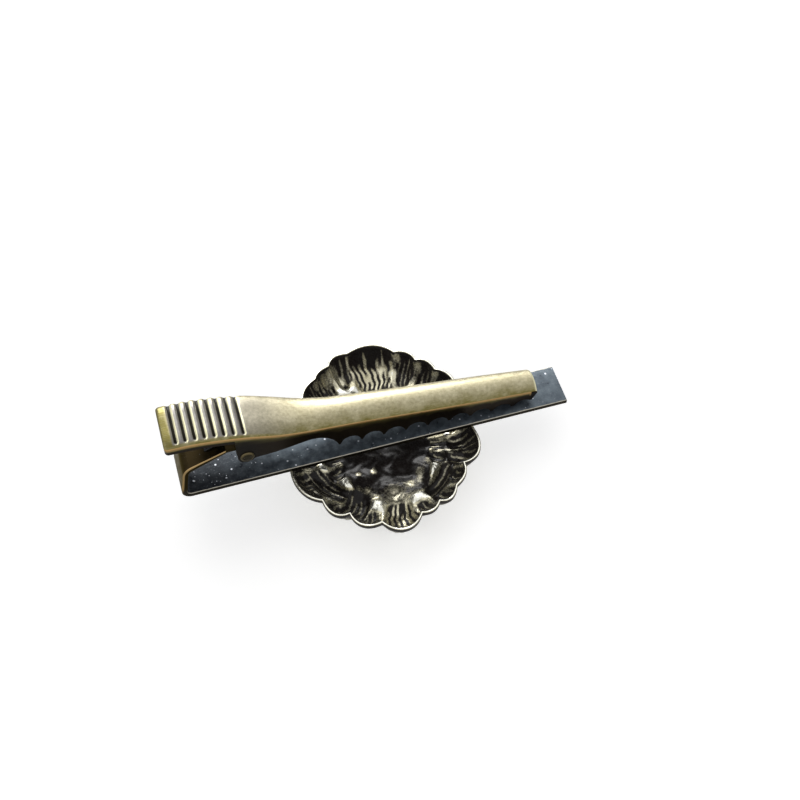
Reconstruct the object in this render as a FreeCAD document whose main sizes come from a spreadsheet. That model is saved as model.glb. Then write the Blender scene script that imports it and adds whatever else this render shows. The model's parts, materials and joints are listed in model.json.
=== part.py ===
"""Tie clip: a bent bar, a sprung lever with a toothed jaw, and a hollow lion-head emblem.

X runs along the bar towards its free end, Y across it, Z from the bar towards the lever.
The origin is the middle of the bar's inner face, which the cloth lies on.
"""
import FreeCAD, Part
import math
import os
import re
import Sketcher
from FreeCAD import Placement, Rotation, Vector

doc = FreeCAD.newDocument("tie_clip")
sheet = doc.addObject("Spreadsheet::Sheet", "Sizes")

# Driving dimensions, in millimetres and degrees
SIZES = {
    "bar_length": 58.5,
    "bar_width": 6.5,
    "bar_thickness": 0.8,
    "bar_bend_radius": 0.6,
    "end_wall_height": 6.75,
    "end_wall_lean": 10,
    "tongue_length": 6.82,
    "tongue_rise": 22,
    "bridge_length": 4.6,
    "bridge_ear_radius": 1.35,
    "bridge_ear_thickness": 0.7,
    "ear_gap": 0.15,
    "pin_setback": 10.45,
    "pin_radius": 0.8,
    "pin_bridge_gap": 0.24,
    "pin_running_gap": 0.05,
    "pin_head_radius": 1.0,
    "pin_head_height": 0.3,
    "grip_overhang": 0.2,
    "lever_length": 54.2,
    "thumb_length": 15.48,
    "lever_grip_width": 7.45,
    "lever_tip_width": 4.2,
    "lever_grip_rise": 5.76,
    "lever_tip_height": 2.48,
    "lever_sheet": 0.55,
    "grip_crown": 0.75,
    "jaw_crown": 1.25,
    "grip_flange": 1.0,
    "lever_ear_radius": 1.55,
    "wall_drop": 0.76,
    "throat_length": 8.65,
    "throat_radius": 4.67,
    "tooth_start_height": 2.75,
    "tooth_pitch": 3.3,
    "tooth_gap_radius": 1.5,
    "jaw_gap": 0.1,
    "groove_start": 1.57,
    "groove_pitch": 1.29,
    "groove_count": 8,
    "groove_radius": 0.45,
    "groove_length": 6.2,
    "groove_floor": 0.4,
    "spring_thickness": 0.3,
    "spring_width": 3.6,
    "spring_bend_radius": 0.3,
    "spring_foot": 3.0,
    "spring_reach": 0.5,
    "spring_bend_height": 1.35,
    "spring_leaf_length": 9.4,
    "spring_angle": 13,
    "emblem_width": 28.8,
    "emblem_height": 32.8,
    "emblem_offset_x": 1.05,
    "emblem_offset_y": -0.6,
    "emblem_tilt": 6,
    "emblem_wall": 0.7,
    "emblem_lip": 0.7,
    "emblem_rim_rise": 0.8,
    "emblem_relief": 5.2,
    "solder_radius": 2.2,
    "solder_inset": 2.3,
    "overrun": 1.0,
}

for row, (alias, number) in enumerate(SIZES.items(), start=1):
    sheet.set("A%d" % row, alias.replace("_", " "))
    sheet.set("B%d" % row, str(number))
    sheet.setAlias("B%d" % row, alias)
doc.recompute()


def bound(expression):
    """The same expression with every size name pointing at its cell."""
    return re.sub(r"[a-z][a-z_]*", lambda word: "Sizes." + word[0] if word[0] in SIZES else word[0],
                  expression)


def value(expression):
    return float(sheet.evalExpression(bound(expression)))


size = {name: value(name) for name in SIZES}


def bind(part, **expressions):
    for name, expression in expressions.items():
        part.setExpression(name, bound(expression))


def place(part, x="0", y="0", z="0"):
    for axis, expression in zip("xyz", (x, y, z)):
        part.setExpression("Placement.Base." + axis, bound(expression))


def turned(part, rotation):
    part.Placement = Placement(Vector(), rotation)
    return part


def combine(kind, name, shapes):
    """A fuse or common of several objects of the document."""
    joined = doc.addObject(kind, name)
    joined.Shapes = shapes
    return joined


def cut(name, base, tool):
    result = doc.addObject("Part::Cut", name)
    result.Base = base
    result.Tool = tool
    return result


ACROSS = Rotation(Vector(1, 0, 0), -90)
UPRIGHT = Rotation(Vector(1, 0, 0), 90)
SECTION = Rotation(Vector(1, 1, 1), 120)


def cross_bar(name, x, z, radius, length):
    """Round bar along Y, its middle on the clip's middle plane."""
    bar = turned(doc.addObject("Part::Cylinder", name), ACROSS)
    bind(bar, Radius=radius, Height=length)
    place(bar, x, "-(%s) / 2" % length, z)
    return bar


def block(name, low, high):
    """Box between two corners, each given as three expressions."""
    box = doc.addObject("Part::Box", name)
    sides = ["%s - (%s)" % (far, near) for near, far in zip(low, high)]
    bind(box, Length=sides[0], Width=sides[1], Height=sides[2])
    place(box, *low)
    return box


def outline_sketch(sketch, corners):
    """Closed outline of straight runs through corners, each bound to the sheet."""
    points = [Vector(value(across), value(up), 0) for across, up in corners]
    count = len(points)
    for index in range(count):
        sketch.addGeometry(Part.LineSegment(points[index], points[(index + 1) % count]), False)
    for index in range(count):
        sketch.addConstraint(Sketcher.Constraint("Coincident", index, 2, (index + 1) % count, 1))
    for index, corner in enumerate(corners):
        for kind, expression in zip(("DistanceX", "DistanceY"), corner):
            limit = Sketcher.Constraint(kind, -1, 1, index, 1, value(expression))
            number = sketch.addConstraint(limit)
            sketch.setExpression("Constraints[%d]" % number, bound(expression))
    return sketch


def body_sketch(body, name, role):
    sketch = body.newObject("Sketcher::SketchObject", name)
    plane = [feature for feature in body.Origin.OriginFeatures if feature.Role == role][0]
    sketch.AttachmentSupport = (plane, "")
    sketch.MapMode = "FlatFace"
    return sketch


def run_corners(start, runs):
    """Corners of a line that starts at a point and takes runs of a length and a heading."""
    corners = [start]
    for length, heading in runs:
        x, z = corners[-1]
        corners.append(("%s + (%s) * cos(%s)" % (x, length, heading),
                        "%s + (%s) * sin(%s)" % (z, length, heading)))
    return corners


def offset_corners(start, runs, thickness, side):
    """The same line moved sideways by a thickness: side 1 is to its left, -1 to its right."""
    corners = run_corners(start, runs)
    headings = [heading for _, heading in runs]
    moved = []
    for index, (x, z) in enumerate(corners):
        before = headings[max(index - 1, 0)]
        after = headings[min(index, len(headings) - 1)]
        slip = "%d * tan((%s - (%s)) / 2)" % (side, after, before)
        across = "(-%d * sin(%s) - %s * cos(%s))" % (side, before, slip, before)
        up = "(%d * cos(%s) - %s * sin(%s))" % (side, before, slip, before)
        moved.append(("%s + (%s) * %s" % (x, thickness, across), "%s + (%s) * %s" % (z, thickness, up)))
    return moved


MATCH_TOLERANCE = 1e-5


def corner_edges(shape, corners):
    """Names of the edges across the strip that start at the given corners."""
    names = []
    for x, z in corners:
        corner = Vector(value(x), 0, value(z))
        for number, edge in enumerate(shape.Edges, start=1):
            ends = [vertex.Point for vertex in edge.Vertexes]
            if all(math.hypot(end.x - corner.x, end.z - corner.z) < MATCH_TOLERANCE for end in ends):
                names.append("Edge%d" % number)
    return names


def bent_strip(name, start, runs, thickness, width, bend_radius, side):
    """Sheet-metal strip across Y whose bends are rounded inside and outside."""
    body = doc.addObject("PartDesign::Body", name)
    near = run_corners(start, runs)
    far = offset_corners(start, runs, thickness, side)
    sketch = outline_sketch(body_sketch(body, name + "_profile", "XZ_Plane"), near + far[::-1])
    pad = body.newObject("PartDesign::Pad", name + "_pad")
    pad.Profile = sketch
    pad.SideType = "Symmetric"
    bind(pad, Length=width)
    doc.recompute()
    inner, outer = [], []
    for index in range(1, len(runs)):
        turn = value("(%s) - (%s)" % (runs[index][1], runs[index - 1][1]))
        near_is_outer = turn * side > 0
        (outer if near_is_outer else inner).append(near[index])
        (inner if near_is_outer else outer).append(far[index])
    for label, corners, radius in (("outer", outer, "%s + %s" % (bend_radius, thickness)),
                                   ("inner", inner, bend_radius)):
        base = body.Tip
        fillet = body.newObject("PartDesign::Fillet", "%s_%s_bends" % (name, label))
        fillet.Base = (base, corner_edges(base.Shape, corners))
        bind(fillet, Radius=radius)
        doc.recompute()
    return body


# Front bar: bar, end wall, tongue and bridge are one strip, bent three times
HINGE_X = "(-bar_length / 2)"
BAR_RUNS = [
    ("bar_length", "180"),
    ("end_wall_height / cos(end_wall_lean)", "90 - end_wall_lean"),
    ("tongue_length", "tongue_rise"),
    ("bridge_length", "0"),
]
BAR_START = ("bar_length / 2", "-bar_thickness")
bar_corners = run_corners(BAR_START, BAR_RUNS)
TONGUE_X, TONGUE_Z = bar_corners[3]
BRIDGE_END_X = bar_corners[4][0]
PIN_X = "(%s + pin_setback)" % HINGE_X
PIN_Z = "(%s - bar_thickness - pin_bridge_gap - pin_radius)" % TONGUE_Z

# Lever shape at stations from the grip's end to the tip: the first ones share out the thumb grip evenly,
# the others the drop and the jaw. Each row: share of the fall from grip to tip, of the width, of the crown.
LEVER_STATION_SHARES = [
    (1.000, 0.970, 0.00),
    (0.989, 1.000, 0.00),
    (0.928, 0.995, 0.00),
    (0.825, 0.955, 0.10),
    (0.679, 0.830, 0.40),
    (0.546, 0.560, 0.75),
    (0.457, 0.370, 0.95),
    (0.399, 0.300, 1.00),
    (0.341, 0.265, 1.00),
    (0.281, 0.235, 1.00),
    (0.224, 0.205, 1.00),
    (0.169, 0.170, 1.00),
    (0.113, 0.130, 0.98),
    (0.057, 0.070, 0.95),
    (0.000, 0.000, 0.90),
]
LAST_STATION = len(LEVER_STATION_SHARES) - 1
THUMB_STATIONS = 4
GRIP_X = "(%s - grip_overhang)" % HINGE_X
TIP_X = "(%s + lever_length)" % GRIP_X
GRIP_Z = "(%s + lever_grip_rise)" % PIN_Z
THROAT_X = "(%s + throat_length)" % PIN_X


def station_x(index):
    if index <= THUMB_STATIONS:
        return "(%s + thumb_length * %d / %d)" % (GRIP_X, index, THUMB_STATIONS)
    return "(%s - (lever_length - thumb_length) * %d / %d)" % (
        TIP_X, LAST_STATION - index, LAST_STATION - THUMB_STATIONS)


def station_shares(x):
    """Height, width and crown shares of the lever at a place along X."""
    wanted = value(x)
    for station, before in enumerate(LEVER_STATION_SHARES[:-1]):
        start, end = value(station_x(station)), value(station_x(station + 1))
        if wanted <= end:
            break
    along = (wanted - start) / (end - start)
    after = LEVER_STATION_SHARES[station + 1]
    return [low + (high - low) * along for low, high in zip(before, after)]


def edge_height(share):
    return "(lever_tip_height + (%s - lever_tip_height) * %.4f)" % (GRIP_Z, share)


def half_width(share):
    return "((lever_tip_width + (lever_grip_width - lever_tip_width) * %.4f) / 2)" % share


def crown(share):
    return "(grip_crown + (jaw_crown - grip_crown) * %.4f)" % share


PIN_HALF_WIDTH = half_width(station_shares(PIN_X)[1])
BRIDGE_HALF_WIDTH = "(%s - lever_sheet - ear_gap)" % PIN_HALF_WIDTH


def make_front_bar():
    strip = bent_strip("bar_strip", BAR_START, BAR_RUNS, "bar_thickness", "bar_width",
                       "bar_bend_radius", -1)
    pieces = [strip]
    notches = []
    for side, label in ((1, "far"), (-1, "near")):
        inner_y = "%s - bridge_ear_thickness" % BRIDGE_HALF_WIDTH
        ear_y = inner_y if side > 0 else "-%s" % BRIDGE_HALF_WIDTH
        plate = block("bridge_ear_plate_" + label,
                      ("%s - bridge_ear_radius" % PIN_X, ear_y, PIN_Z),
                      ("%s + bridge_ear_radius" % PIN_X, "%s + bridge_ear_thickness" % ear_y,
                       "%s - bar_thickness / 2" % TONGUE_Z))
        lobe = turned(doc.addObject("Part::Cylinder", "bridge_ear_round_" + label), ACROSS)
        bind(lobe, Radius="bridge_ear_radius", Height="bridge_ear_thickness")
        place(lobe, PIN_X, ear_y, PIN_Z)
        pieces += [plate, lobe]
        notch_y = BRIDGE_HALF_WIDTH if side > 0 else "-bar_width / 2 - overrun"
        notch_end = "bar_width / 2 + overrun" if side > 0 else "-%s" % BRIDGE_HALF_WIDTH
        notches.append(block("tongue_notch_" + label,
                             (TONGUE_X, notch_y, PIN_Z),
                             ("%s + overrun" % BRIDGE_END_X, notch_end, "%s + overrun" % TONGUE_Z)))
    bore = cross_bar("bridge_bore", PIN_X, PIN_Z, "pin_radius + pin_running_gap", "bar_width + 2 * overrun")
    blank = combine("Part::MultiFuse", "front_bar_blank", pieces)
    return cut("front_bar", blank, combine("Part::MultiFuse", "front_bar_cuts", notches + [bore]))


def lever_section(name, x, row, inset, floor):
    """One cross-section of the lever: two upright walls under an arched top."""
    height, width, rise = row
    half = "(%s - %s)" % (half_width(width), inset)
    edge = edge_height(height)
    arch = "(%s - %s)" % (crown(rise), inset)
    radius = "((%s)^2 + (%s)^2) / (2 * %s)" % (half, arch, arch)
    sketch = turned(doc.addObject("Sketcher::SketchObject", name), SECTION)
    place(sketch, x)
    corners = [("-" + half, floor), (half, floor), (half, edge), ("-" + half, edge)]
    points = [Vector(value(across), value(up), 0) for across, up in corners]
    centre = Vector(0, value("%s + %s - %s" % (edge, arch, radius)), 0)
    start = math.atan2(points[2].y - centre.y, points[2].x)
    dome = Part.ArcOfCircle(Part.Circle(centre, Vector(0, 0, 1), value(radius)), start, math.pi - start)
    for piece in (Part.LineSegment(points[0], points[1]), Part.LineSegment(points[1], points[2]), dome,
                  Part.LineSegment(points[3], points[0])):
        sketch.addGeometry(piece, False)
    for index in range(4):
        sketch.addConstraint(Sketcher.Constraint("Coincident", index, 2, (index + 1) % 4, 1))
    for index, corner in enumerate(corners):
        for kind, expression in zip(("DistanceX", "DistanceY"), corner):
            number = sketch.addConstraint(Sketcher.Constraint(kind, -1, 1, index, 1, value(expression)))
            sketch.setExpression("Constraints[%d]" % number, bound(expression))
    number = sketch.addConstraint(Sketcher.Constraint("Radius", 2, value(radius)))
    sketch.setExpression("Constraints[%d]" % number, bound(radius))
    return sketch


def lever_loft(name, inset, floor, start_shift, end_shift):
    sections = []
    shifts = {0: start_shift, LAST_STATION: end_shift}
    for index, row in enumerate(LEVER_STATION_SHARES):
        x = "%s + %s" % (station_x(index), shifts.get(index, "0"))
        sections.append(lever_section("%s_section_%d" % (name, index), x, row, inset, floor))
    loft = doc.addObject("Part::Loft", name)
    loft.Sections = sections
    loft.Solid = True
    loft.MaxDegree = 3
    return loft


def lever_side():
    """Side view of the lever: flange under the grip, ears round the pin, wall down to the tooth line."""
    ear_x = "%s - lever_ear_radius" % PIN_X
    top = "%s + jaw_crown + overrun" % GRIP_Z
    wall_z = "%s - wall_drop" % PIN_Z
    grip_edge = edge_height(LEVER_STATION_SHARES[1][0])
    corners = [
        ("%s - overrun" % GRIP_X, top),
        ("%s - overrun" % GRIP_X, "%s - grip_flange" % GRIP_Z),
        (station_x(1), "%s - grip_flange" % grip_edge),
        (ear_x, "%s - grip_flange" % edge_height(station_shares(ear_x)[0])),
        (ear_x, PIN_Z),
        (PIN_X, PIN_Z),
        (PIN_X, wall_z),
        (THROAT_X, wall_z),
        (THROAT_X, "tooth_start_height"),
        (TIP_X, "jaw_gap"),
        ("%s + overrun" % TIP_X, "jaw_gap"),
        ("%s + overrun" % TIP_X, top),
    ]
    sketch = turned(doc.addObject("Sketcher::SketchObject", "lever_side_profile"), UPRIGHT)
    outline_sketch(sketch, corners)
    sides = doc.addObject("Part::Extrusion", "lever_side")
    sides.Base = sketch
    sides.DirMode = "Normal"
    sides.Solid = True
    sides.Symmetric = True
    bind(sides, LengthFwd="lever_grip_width + 2 * overrun")
    ears = cross_bar("lever_ears", PIN_X, PIN_Z, "lever_ear_radius", "lever_grip_width + 2 * overrun")
    return combine("Part::MultiFuse", "lever_side_with_ears", [sides, ears])


GAP_LOWERING_SHARE = 0.35


def tooth_gaps():
    """Round gaps between the teeth, shallower towards the tip."""
    first = "(%s + throat_radius + tooth_pitch / 2)" % THROAT_X
    count = int(value("(%s - %s) / tooth_pitch + 1 / 2" % (TIP_X, first)))
    gaps = []
    for index in range(count):
        x = "(%s + tooth_pitch * %d)" % (first, index)
        along = "(%s - %s) / (%s - %s)" % (x, THROAT_X, TIP_X, THROAT_X)
        line = "tooth_start_height + (jaw_gap - tooth_start_height) * %s" % along
        lowering = "tooth_gap_radius * %.3f * %s" % (GAP_LOWERING_SHARE, along)
        gaps.append(cross_bar("tooth_gap_%d" % (index + 1), x, "%s - %s" % (line, lowering),
                              "tooth_gap_radius", "lever_grip_width + 2 * overrun"))
    return gaps


def grip_grooves():
    """Pressed grooves across the thumb grip: a bead below the sheet and a groove above it."""
    beads, grooves = [], []
    for index in range(int(value("groove_count"))):
        x = "(%s + groove_start + groove_pitch * %d)" % (GRIP_X, index)
        height, _, rise = station_shares(x)
        top = "%s + %s" % (edge_height(height), crown(rise))
        beads.append(cross_bar("groove_bead_%d" % (index + 1), x, top, "groove_radius + groove_floor",
                               "groove_length"))
        grooves.append(cross_bar("groove_%d" % (index + 1), x, top, "groove_radius", "groove_length"))
    return beads, grooves


def make_clip_lever():
    outer = lever_loft("lever_outer", "0", "-overrun", "0", "0")
    inner = lever_loft("lever_inner", "lever_sheet", "-2 * overrun", "lever_sheet", "overrun")
    beads, grooves = grip_grooves()
    shell = cut("lever_shell", outer, inner)
    inside_beads = combine("Part::MultiCommon", "lever_beads",
                           [combine("Part::MultiFuse", "bead_bars", beads), outer])
    blank = combine("Part::MultiFuse", "lever_blank", [shell, inside_beads])
    trimmed = combine("Part::MultiCommon", "lever_trimmed", [blank, lever_side()])
    throat = cross_bar("lever_throat", THROAT_X, "%s - wall_drop - throat_radius" % PIN_Z, "throat_radius",
                       "lever_grip_width + 2 * overrun")
    bore = cross_bar("lever_bore", PIN_X, PIN_Z, "pin_radius", "lever_grip_width + 2 * overrun")
    tools = combine("Part::MultiFuse", "lever_cuts", tooth_gaps() + grooves + [throat, bore])
    return cut("clip_lever", trimmed, tools)


def make_hinge_pin():
    """Rivet: a shaft through both ears with a low chamfered head on each side."""
    body = doc.addObject("PartDesign::Body", "hinge_pin")
    seat = PIN_HALF_WIDTH
    end = "(%s + pin_head_height)" % seat
    bevel = "pin_head_height / 2"
    half = [
        ("pin_radius", seat),
        ("pin_head_radius", seat),
        ("pin_head_radius", "%s - %s" % (end, bevel)),
        ("pin_head_radius - %s" % bevel, end),
        ("0", end),
    ]
    mirrored = [(across, "-(%s)" % along) for across, along in half[::-1]]
    sketch = outline_sketch(body_sketch(body, "pin_profile", "XY_Plane"), half + mirrored)
    turning = body.newObject("PartDesign::Revolution", "pin_turning")
    turning.Profile = sketch
    turning.ReferenceAxis = (sketch, ["V_Axis"])
    turning.Angle = 360
    place(body, PIN_X, "0", PIN_Z)
    return body


def make_leaf_spring():
    """Flat spring folded double: one leaf on the tongue and bridge, the other under the grip."""
    start = ("%s - spring_foot * cos(tongue_rise)" % TONGUE_X,
             "%s - spring_foot * sin(tongue_rise)" % TONGUE_Z)
    runs = [
        ("spring_foot", "tongue_rise"),
        ("bridge_length + spring_reach", "0"),
        ("spring_bend_height", "90"),
        ("spring_leaf_length", "180 - spring_angle"),
    ]
    return bent_strip("leaf_spring", start, runs, "spring_thickness", "spring_width",
                      "spring_bend_radius", 1)


# Lion-head emblem. Places are shares of its half width and half height, seen from the back.
# Mane locks round the rim: angle of the notch before the lock, reach of the notch, reach of the tip.
MANE_LOCK_SHARES = [
    (22, 0.955, 1.010), (41, 0.955, 0.985), (55, 0.935, 0.985), (70, 0.955, 1.020), (100, 0.975, 0.995),
    (115, 0.935, 0.945), (128, 0.915, 0.930), (144, 0.900, 0.950), (163, 0.920, 0.975), (185, 0.945, 1.010),
    (220, 0.915, 0.960), (239, 0.885, 0.960), (260, 0.910, 1.000), (286, 0.900, 0.930), (300, 0.895, 0.955),
    (315, 0.920, 0.940), (331, 0.890, 1.020), (356, 0.955, 1.000),
]
# Locks of hair: place across and up, heading of the tip, half length and half width as shares of the
# emblem's half height, rise as a share of the relief, and how much the lock widens towards its tip.
HAIR_LOCK_SHARES = [
    (0.062, 0.768, 90, 0.226, 0.244, 0.42, 0.30), (0.424, 0.762, 68, 0.207, 0.122, 0.37, 0.10),
    (0.618, 0.646, 52, 0.207, 0.104, 0.37, 0.10), (0.785, 0.512, 38, 0.189, 0.104, 0.35, 0.10),
    (0.847, 0.317, 20, 0.183, 0.110, 0.35, 0.10), (0.868, 0.110, 2, 0.171, 0.110, 0.35, 0.10),
    (0.854, -0.104, -14, 0.183, 0.110, 0.37, 0.10), (0.806, -0.305, -34, 0.165, 0.104, 0.35, 0.10),
    (0.729, -0.500, -50, 0.146, 0.091, 0.37, 0.10), (0.528, -0.463, 46, 0.220, 0.104, 0.42, 0.00),
    (0.514, -0.695, -58, 0.152, 0.104, 0.29, 0.10), (0.326, -0.768, -68, 0.159, 0.085, 0.27, 0.10),
    (0.062, -0.774, -90, 0.220, 0.195, 0.42, 0.35), (-0.222, -0.787, -104, 0.152, 0.085, 0.27, 0.10),
    (-0.368, -0.591, -118, 0.195, 0.146, 0.44, 0.10), (-0.549, -0.683, -125, 0.128, 0.091, 0.27, 0.10),
    (-0.625, -0.341, -48, 0.244, 0.122, 0.40, -0.10), (-0.812, -0.280, 208, 0.165, 0.110, 0.33, 0.10),
    (-0.847, -0.055, 186, 0.177, 0.116, 0.37, 0.10), (-0.833, 0.171, 170, 0.171, 0.110, 0.35, 0.10),
    (-0.785, 0.366, 153, 0.171, 0.098, 0.35, 0.10), (-0.688, 0.549, 138, 0.165, 0.079, 0.33, 0.10),
    (-0.569, 0.665, 128, 0.177, 0.073, 0.33, 0.10), (-0.431, 0.720, 117, 0.183, 0.079, 0.35, 0.10),
    (-0.271, 0.823, 106, 0.177, 0.110, 0.37, 0.10),
]
# Ears, in the same shares as the locks.
EAR_SHARES = [
    (0.438, 0.445, 52, 0.146, 0.116, 0.53, 0.00), (-0.354, 0.445, 128, 0.146, 0.116, 0.53, 0.00),
]
# Locks close round the face: middle and half size of their ring, then the lock's own shares.
INNER_RING_SHARES = ((0.042, 0.514), (0.030, 0.524))
INNER_LOCK_SHARES = (0.171, 0.098, 0.37, 0.05)
INNER_LOCK_FIRST_ANGLE = -22
INNER_LOCK_STEP_ANGLE = 16
INNER_LOCK_SWEEP_ANGLE = 14
INNER_LOCK_COUNT = 15
# Features of one half of the face, mirrored on the other: place out from its middle and up, heading,
# half length and half width as shares of the emblem's half height, rise as a share of the relief.
FACE_SHARES = [
    (0.146, 0.238, 22, 0.159, 0.058, 0.154), (0.165, 0.146, 12, 0.104, 0.052, -0.163),
    (0.165, 0.143, 12, 0.058, 0.034, 0.144), (0.000, 0.110, 90, 0.268, 0.107, 0.154),
    (0.000, -0.128, 0, 0.128, 0.076, 0.163), (0.119, -0.274, -20, 0.152, 0.116, 0.192),
    (0.000, -0.500, 0, 0.128, 0.073, 0.154), (0.280, -0.073, 62, 0.220, 0.110, 0.115),
    (0.262, -0.341, 115, 0.159, 0.091, 0.087), (0.098, 0.384, 70, 0.146, 0.067, 0.067),
    (0.348, 0.445, 52, 0.091, 0.070, -0.250),
]
FACE_MIDDLE_SHARE = 0.042
FACE_UP_SHARE = -0.030
FACE_HALF_SHARES = (0.421, 0.579)
FACE_RISE_SHARE = 0.337
FACE_POWER = 2.5
BASE_SHARE = 0.50
LOBE_SHARE = 0.23
LOBE_MIDDLE_SHARE = 0.86
LOBE_SPREAD_SHARE = 0.10
RIM_FADE_SHARE = 0.10
LOCK_POWER = 2.4
RIM_POWER = 14
RIM_LIMIT_SHARE = 1.08
BASE_POWER = 3
GRID_ACROSS = 60
GRID_UP = 68
GRID_REACH_SHARE = 1.12
FULL_TURN = 360
STEEPEST_SLOPE = 1.1


def mane_lock(angle):
    """Reach of the rim at an angle, and how near the middle of its lock that is, from 0 to 1."""
    first = MANE_LOCK_SHARES[0][0]
    angle = (angle - first) % FULL_TURN + first
    following = MANE_LOCK_SHARES[1:] + [(first + FULL_TURN,) + MANE_LOCK_SHARES[0][1:]]
    for lock, after in zip(MANE_LOCK_SHARES, following):
        if angle <= after[0]:
            break
    along = (angle - lock[0]) / (after[0] - lock[0])
    rounded = 1 - (2 * along - 1) ** 2
    notch = lock[1] + (after[1] - lock[1]) * along
    return notch + (lock[2] - notch) * rounded, rounded


def inner_locks():
    """Locks of hair close round the face, swept a little downwards."""
    (middle_across, half_across), (middle_up, half_up) = INNER_RING_SHARES
    locks = []
    for index in range(INNER_LOCK_COUNT):
        angle = INNER_LOCK_FIRST_ANGLE + index * INNER_LOCK_STEP_ANGLE
        across = math.cos(math.radians(angle))
        up = math.sin(math.radians(angle))
        place_share = (middle_across + half_across * across, middle_up + half_up * up)
        locks.append(place_share + (angle - INNER_LOCK_SWEEP_ANGLE * across,) + INNER_LOCK_SHARES)
    return locks


ALL_LOCK_SHARES = inner_locks() + HAIR_LOCK_SHARES + EAR_SHARES
SLENDERNESS = size["emblem_width"] / size["emblem_height"]


def along_and_beside(x, y, heading, length, width):
    """A place seen from a feature's middle: along its heading and beside it, in its half sizes."""
    turn = math.radians(heading)
    along = (x * math.cos(turn) + y * math.sin(turn)) / length
    return along, (y * math.cos(turn) - x * math.sin(turn)) / width


def lock_rise(across, up, lock):
    """Rise of one lock of hair: a bulge along its heading."""
    place_across, place_up, heading, length, width, rise, widening = lock
    x = (across - place_across) * SLENDERNESS
    along, beside = along_and_beside(x, up - place_up, heading, length, width)
    beside /= 1 + widening * max(-1, min(along, 1))
    return rise * math.sqrt(max(0, 1 - beside ** 2) * max(0, 1 - abs(along) ** LOCK_POWER))


def face_rise(across, up):
    """Rise of the face's oval and of the features on it."""
    x = abs(across - FACE_MIDDLE_SHARE) * SLENDERNESS
    spread = (x / FACE_HALF_SHARES[0]) ** FACE_POWER
    spread += abs((up - FACE_UP_SHARE) / FACE_HALF_SHARES[1]) ** FACE_POWER
    features = 0
    for out, place_up, heading, length, width, rise in FACE_SHARES:
        along, beside = along_and_beside(x - out, up - place_up, heading, length, width)
        features += rise * max(0, 1 - along ** 2 - beside ** 2) ** 1.5
    return FACE_RISE_SHARE * math.sqrt(max(0, 1 - spread)), features


def emblem_depth(across, up):
    """Depth of the emblem's front below its rim plane; across and up are shares of its half sizes."""
    reach, crest = mane_lock(math.degrees(math.atan2(up, across)))
    out = min(math.hypot(across, up) / reach, RIM_LIMIT_SHARE)
    hair = LOBE_SHARE * crest * math.exp(-((out - LOBE_MIDDLE_SHARE) / LOBE_SPREAD_SHARE) ** 2)
    hair = max([hair] + [lock_rise(across, up, lock) for lock in ALL_LOCK_SHARES])
    hair *= max(0, min((1 - out) / RIM_FADE_SHARE, 1))
    face, features = face_rise(across, up)
    depth = size["emblem_lip"] + size["emblem_rim_rise"] * (1 - out ** RIM_POWER)
    return depth + size["emblem_relief"] * (BASE_SHARE * (1 - out ** BASE_POWER) + max(hair, face) + features)


def softened(rows):
    """Each row mixed with the rows beside it."""
    count = len(rows)
    mixed = []
    for index, row in enumerate(rows):
        before = rows[max(index - 1, 0)]
        after = rows[min(index + 1, count - 1)]
        mixed.append([(near + 2 * middle + far) / 4 for near, middle, far in zip(before, row, after)])
    return mixed


def grid_share(index, count):
    return GRID_REACH_SHARE * (2 * index / (count - 1) - 1)


def columns_of(rows):
    return [list(column) for column in zip(*rows)]


depth_rows = [[emblem_depth(grid_share(i, GRID_ACROSS), grid_share(j, GRID_UP)) for j in range(GRID_UP)]
              for i in range(GRID_ACROSS)]
depth_rows = columns_of(softened(columns_of(softened(depth_rows))))


def emblem_surface(name, wall):
    """Face through the front of the emblem, or with a wall, through its hollow back."""
    half_across = size["emblem_width"] / 2
    half_up = size["emblem_height"] / 2
    step_across = half_across * GRID_REACH_SHARE * 2 / (GRID_ACROSS - 1)
    step_up = half_up * GRID_REACH_SHARE * 2 / (GRID_UP - 1)
    rows = []
    for i, depths in enumerate(depth_rows):
        before = depth_rows[max(i - 1, 0)]
        after = depth_rows[min(i + 1, GRID_ACROSS - 1)]
        row = []
        for j, depth in enumerate(depths):
            slope_across = (after[j] - before[j]) / (2 * step_across)
            slope_up = (depths[min(j + 1, GRID_UP - 1)] - depths[max(j - 1, 0)]) / (2 * step_up)
            slope = min(math.hypot(slope_across, slope_up), STEEPEST_SLOPE)
            row.append(Vector(half_across * grid_share(i, GRID_ACROSS), half_up * grid_share(j, GRID_UP),
                              wall * math.sqrt(1 + slope ** 2) - depth))
        rows.append(row)
    surface = Part.BSplineSurface()
    surface.interpolate(rows)
    face = doc.addObject("Part::Feature", name)
    face.Shape = surface.toShape()
    return on_rim(face)


def on_rim(part):
    """Turns and moves a piece of the emblem onto the bar's front face."""
    part.Placement = Placement(Vector(), Rotation(Vector(0, 0, 1), -size["emblem_tilt"]))
    place(part, "emblem_offset_x", "emblem_offset_y", "-bar_thickness")
    return part


def emblem_rim(name, inset):
    """Scalloped outline of the mane, one arc for each lock, drawn in by an inset."""
    half_across = size["emblem_width"] / 2 - inset
    half_up = size["emblem_height"] / 2 - inset

    def rim_point(angle, reach):
        turn = math.radians(angle)
        return Vector(half_across * reach * math.cos(turn), half_up * reach * math.sin(turn), 0)

    arcs = []
    following = MANE_LOCK_SHARES[1:] + [(MANE_LOCK_SHARES[0][0] + FULL_TURN,) + MANE_LOCK_SHARES[0][1:]]
    for lock, after in zip(MANE_LOCK_SHARES, following):
        middle = (lock[0] + after[0]) / 2
        tip = rim_point(middle, lock[2])
        arcs.append(Part.Arc(rim_point(*lock[:2]), tip, rim_point(*after[:2])).toShape())
    outline = doc.addObject("Part::Feature", name)
    outline.Shape = Part.Face(Part.Wire(arcs))
    return on_rim(outline)


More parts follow.
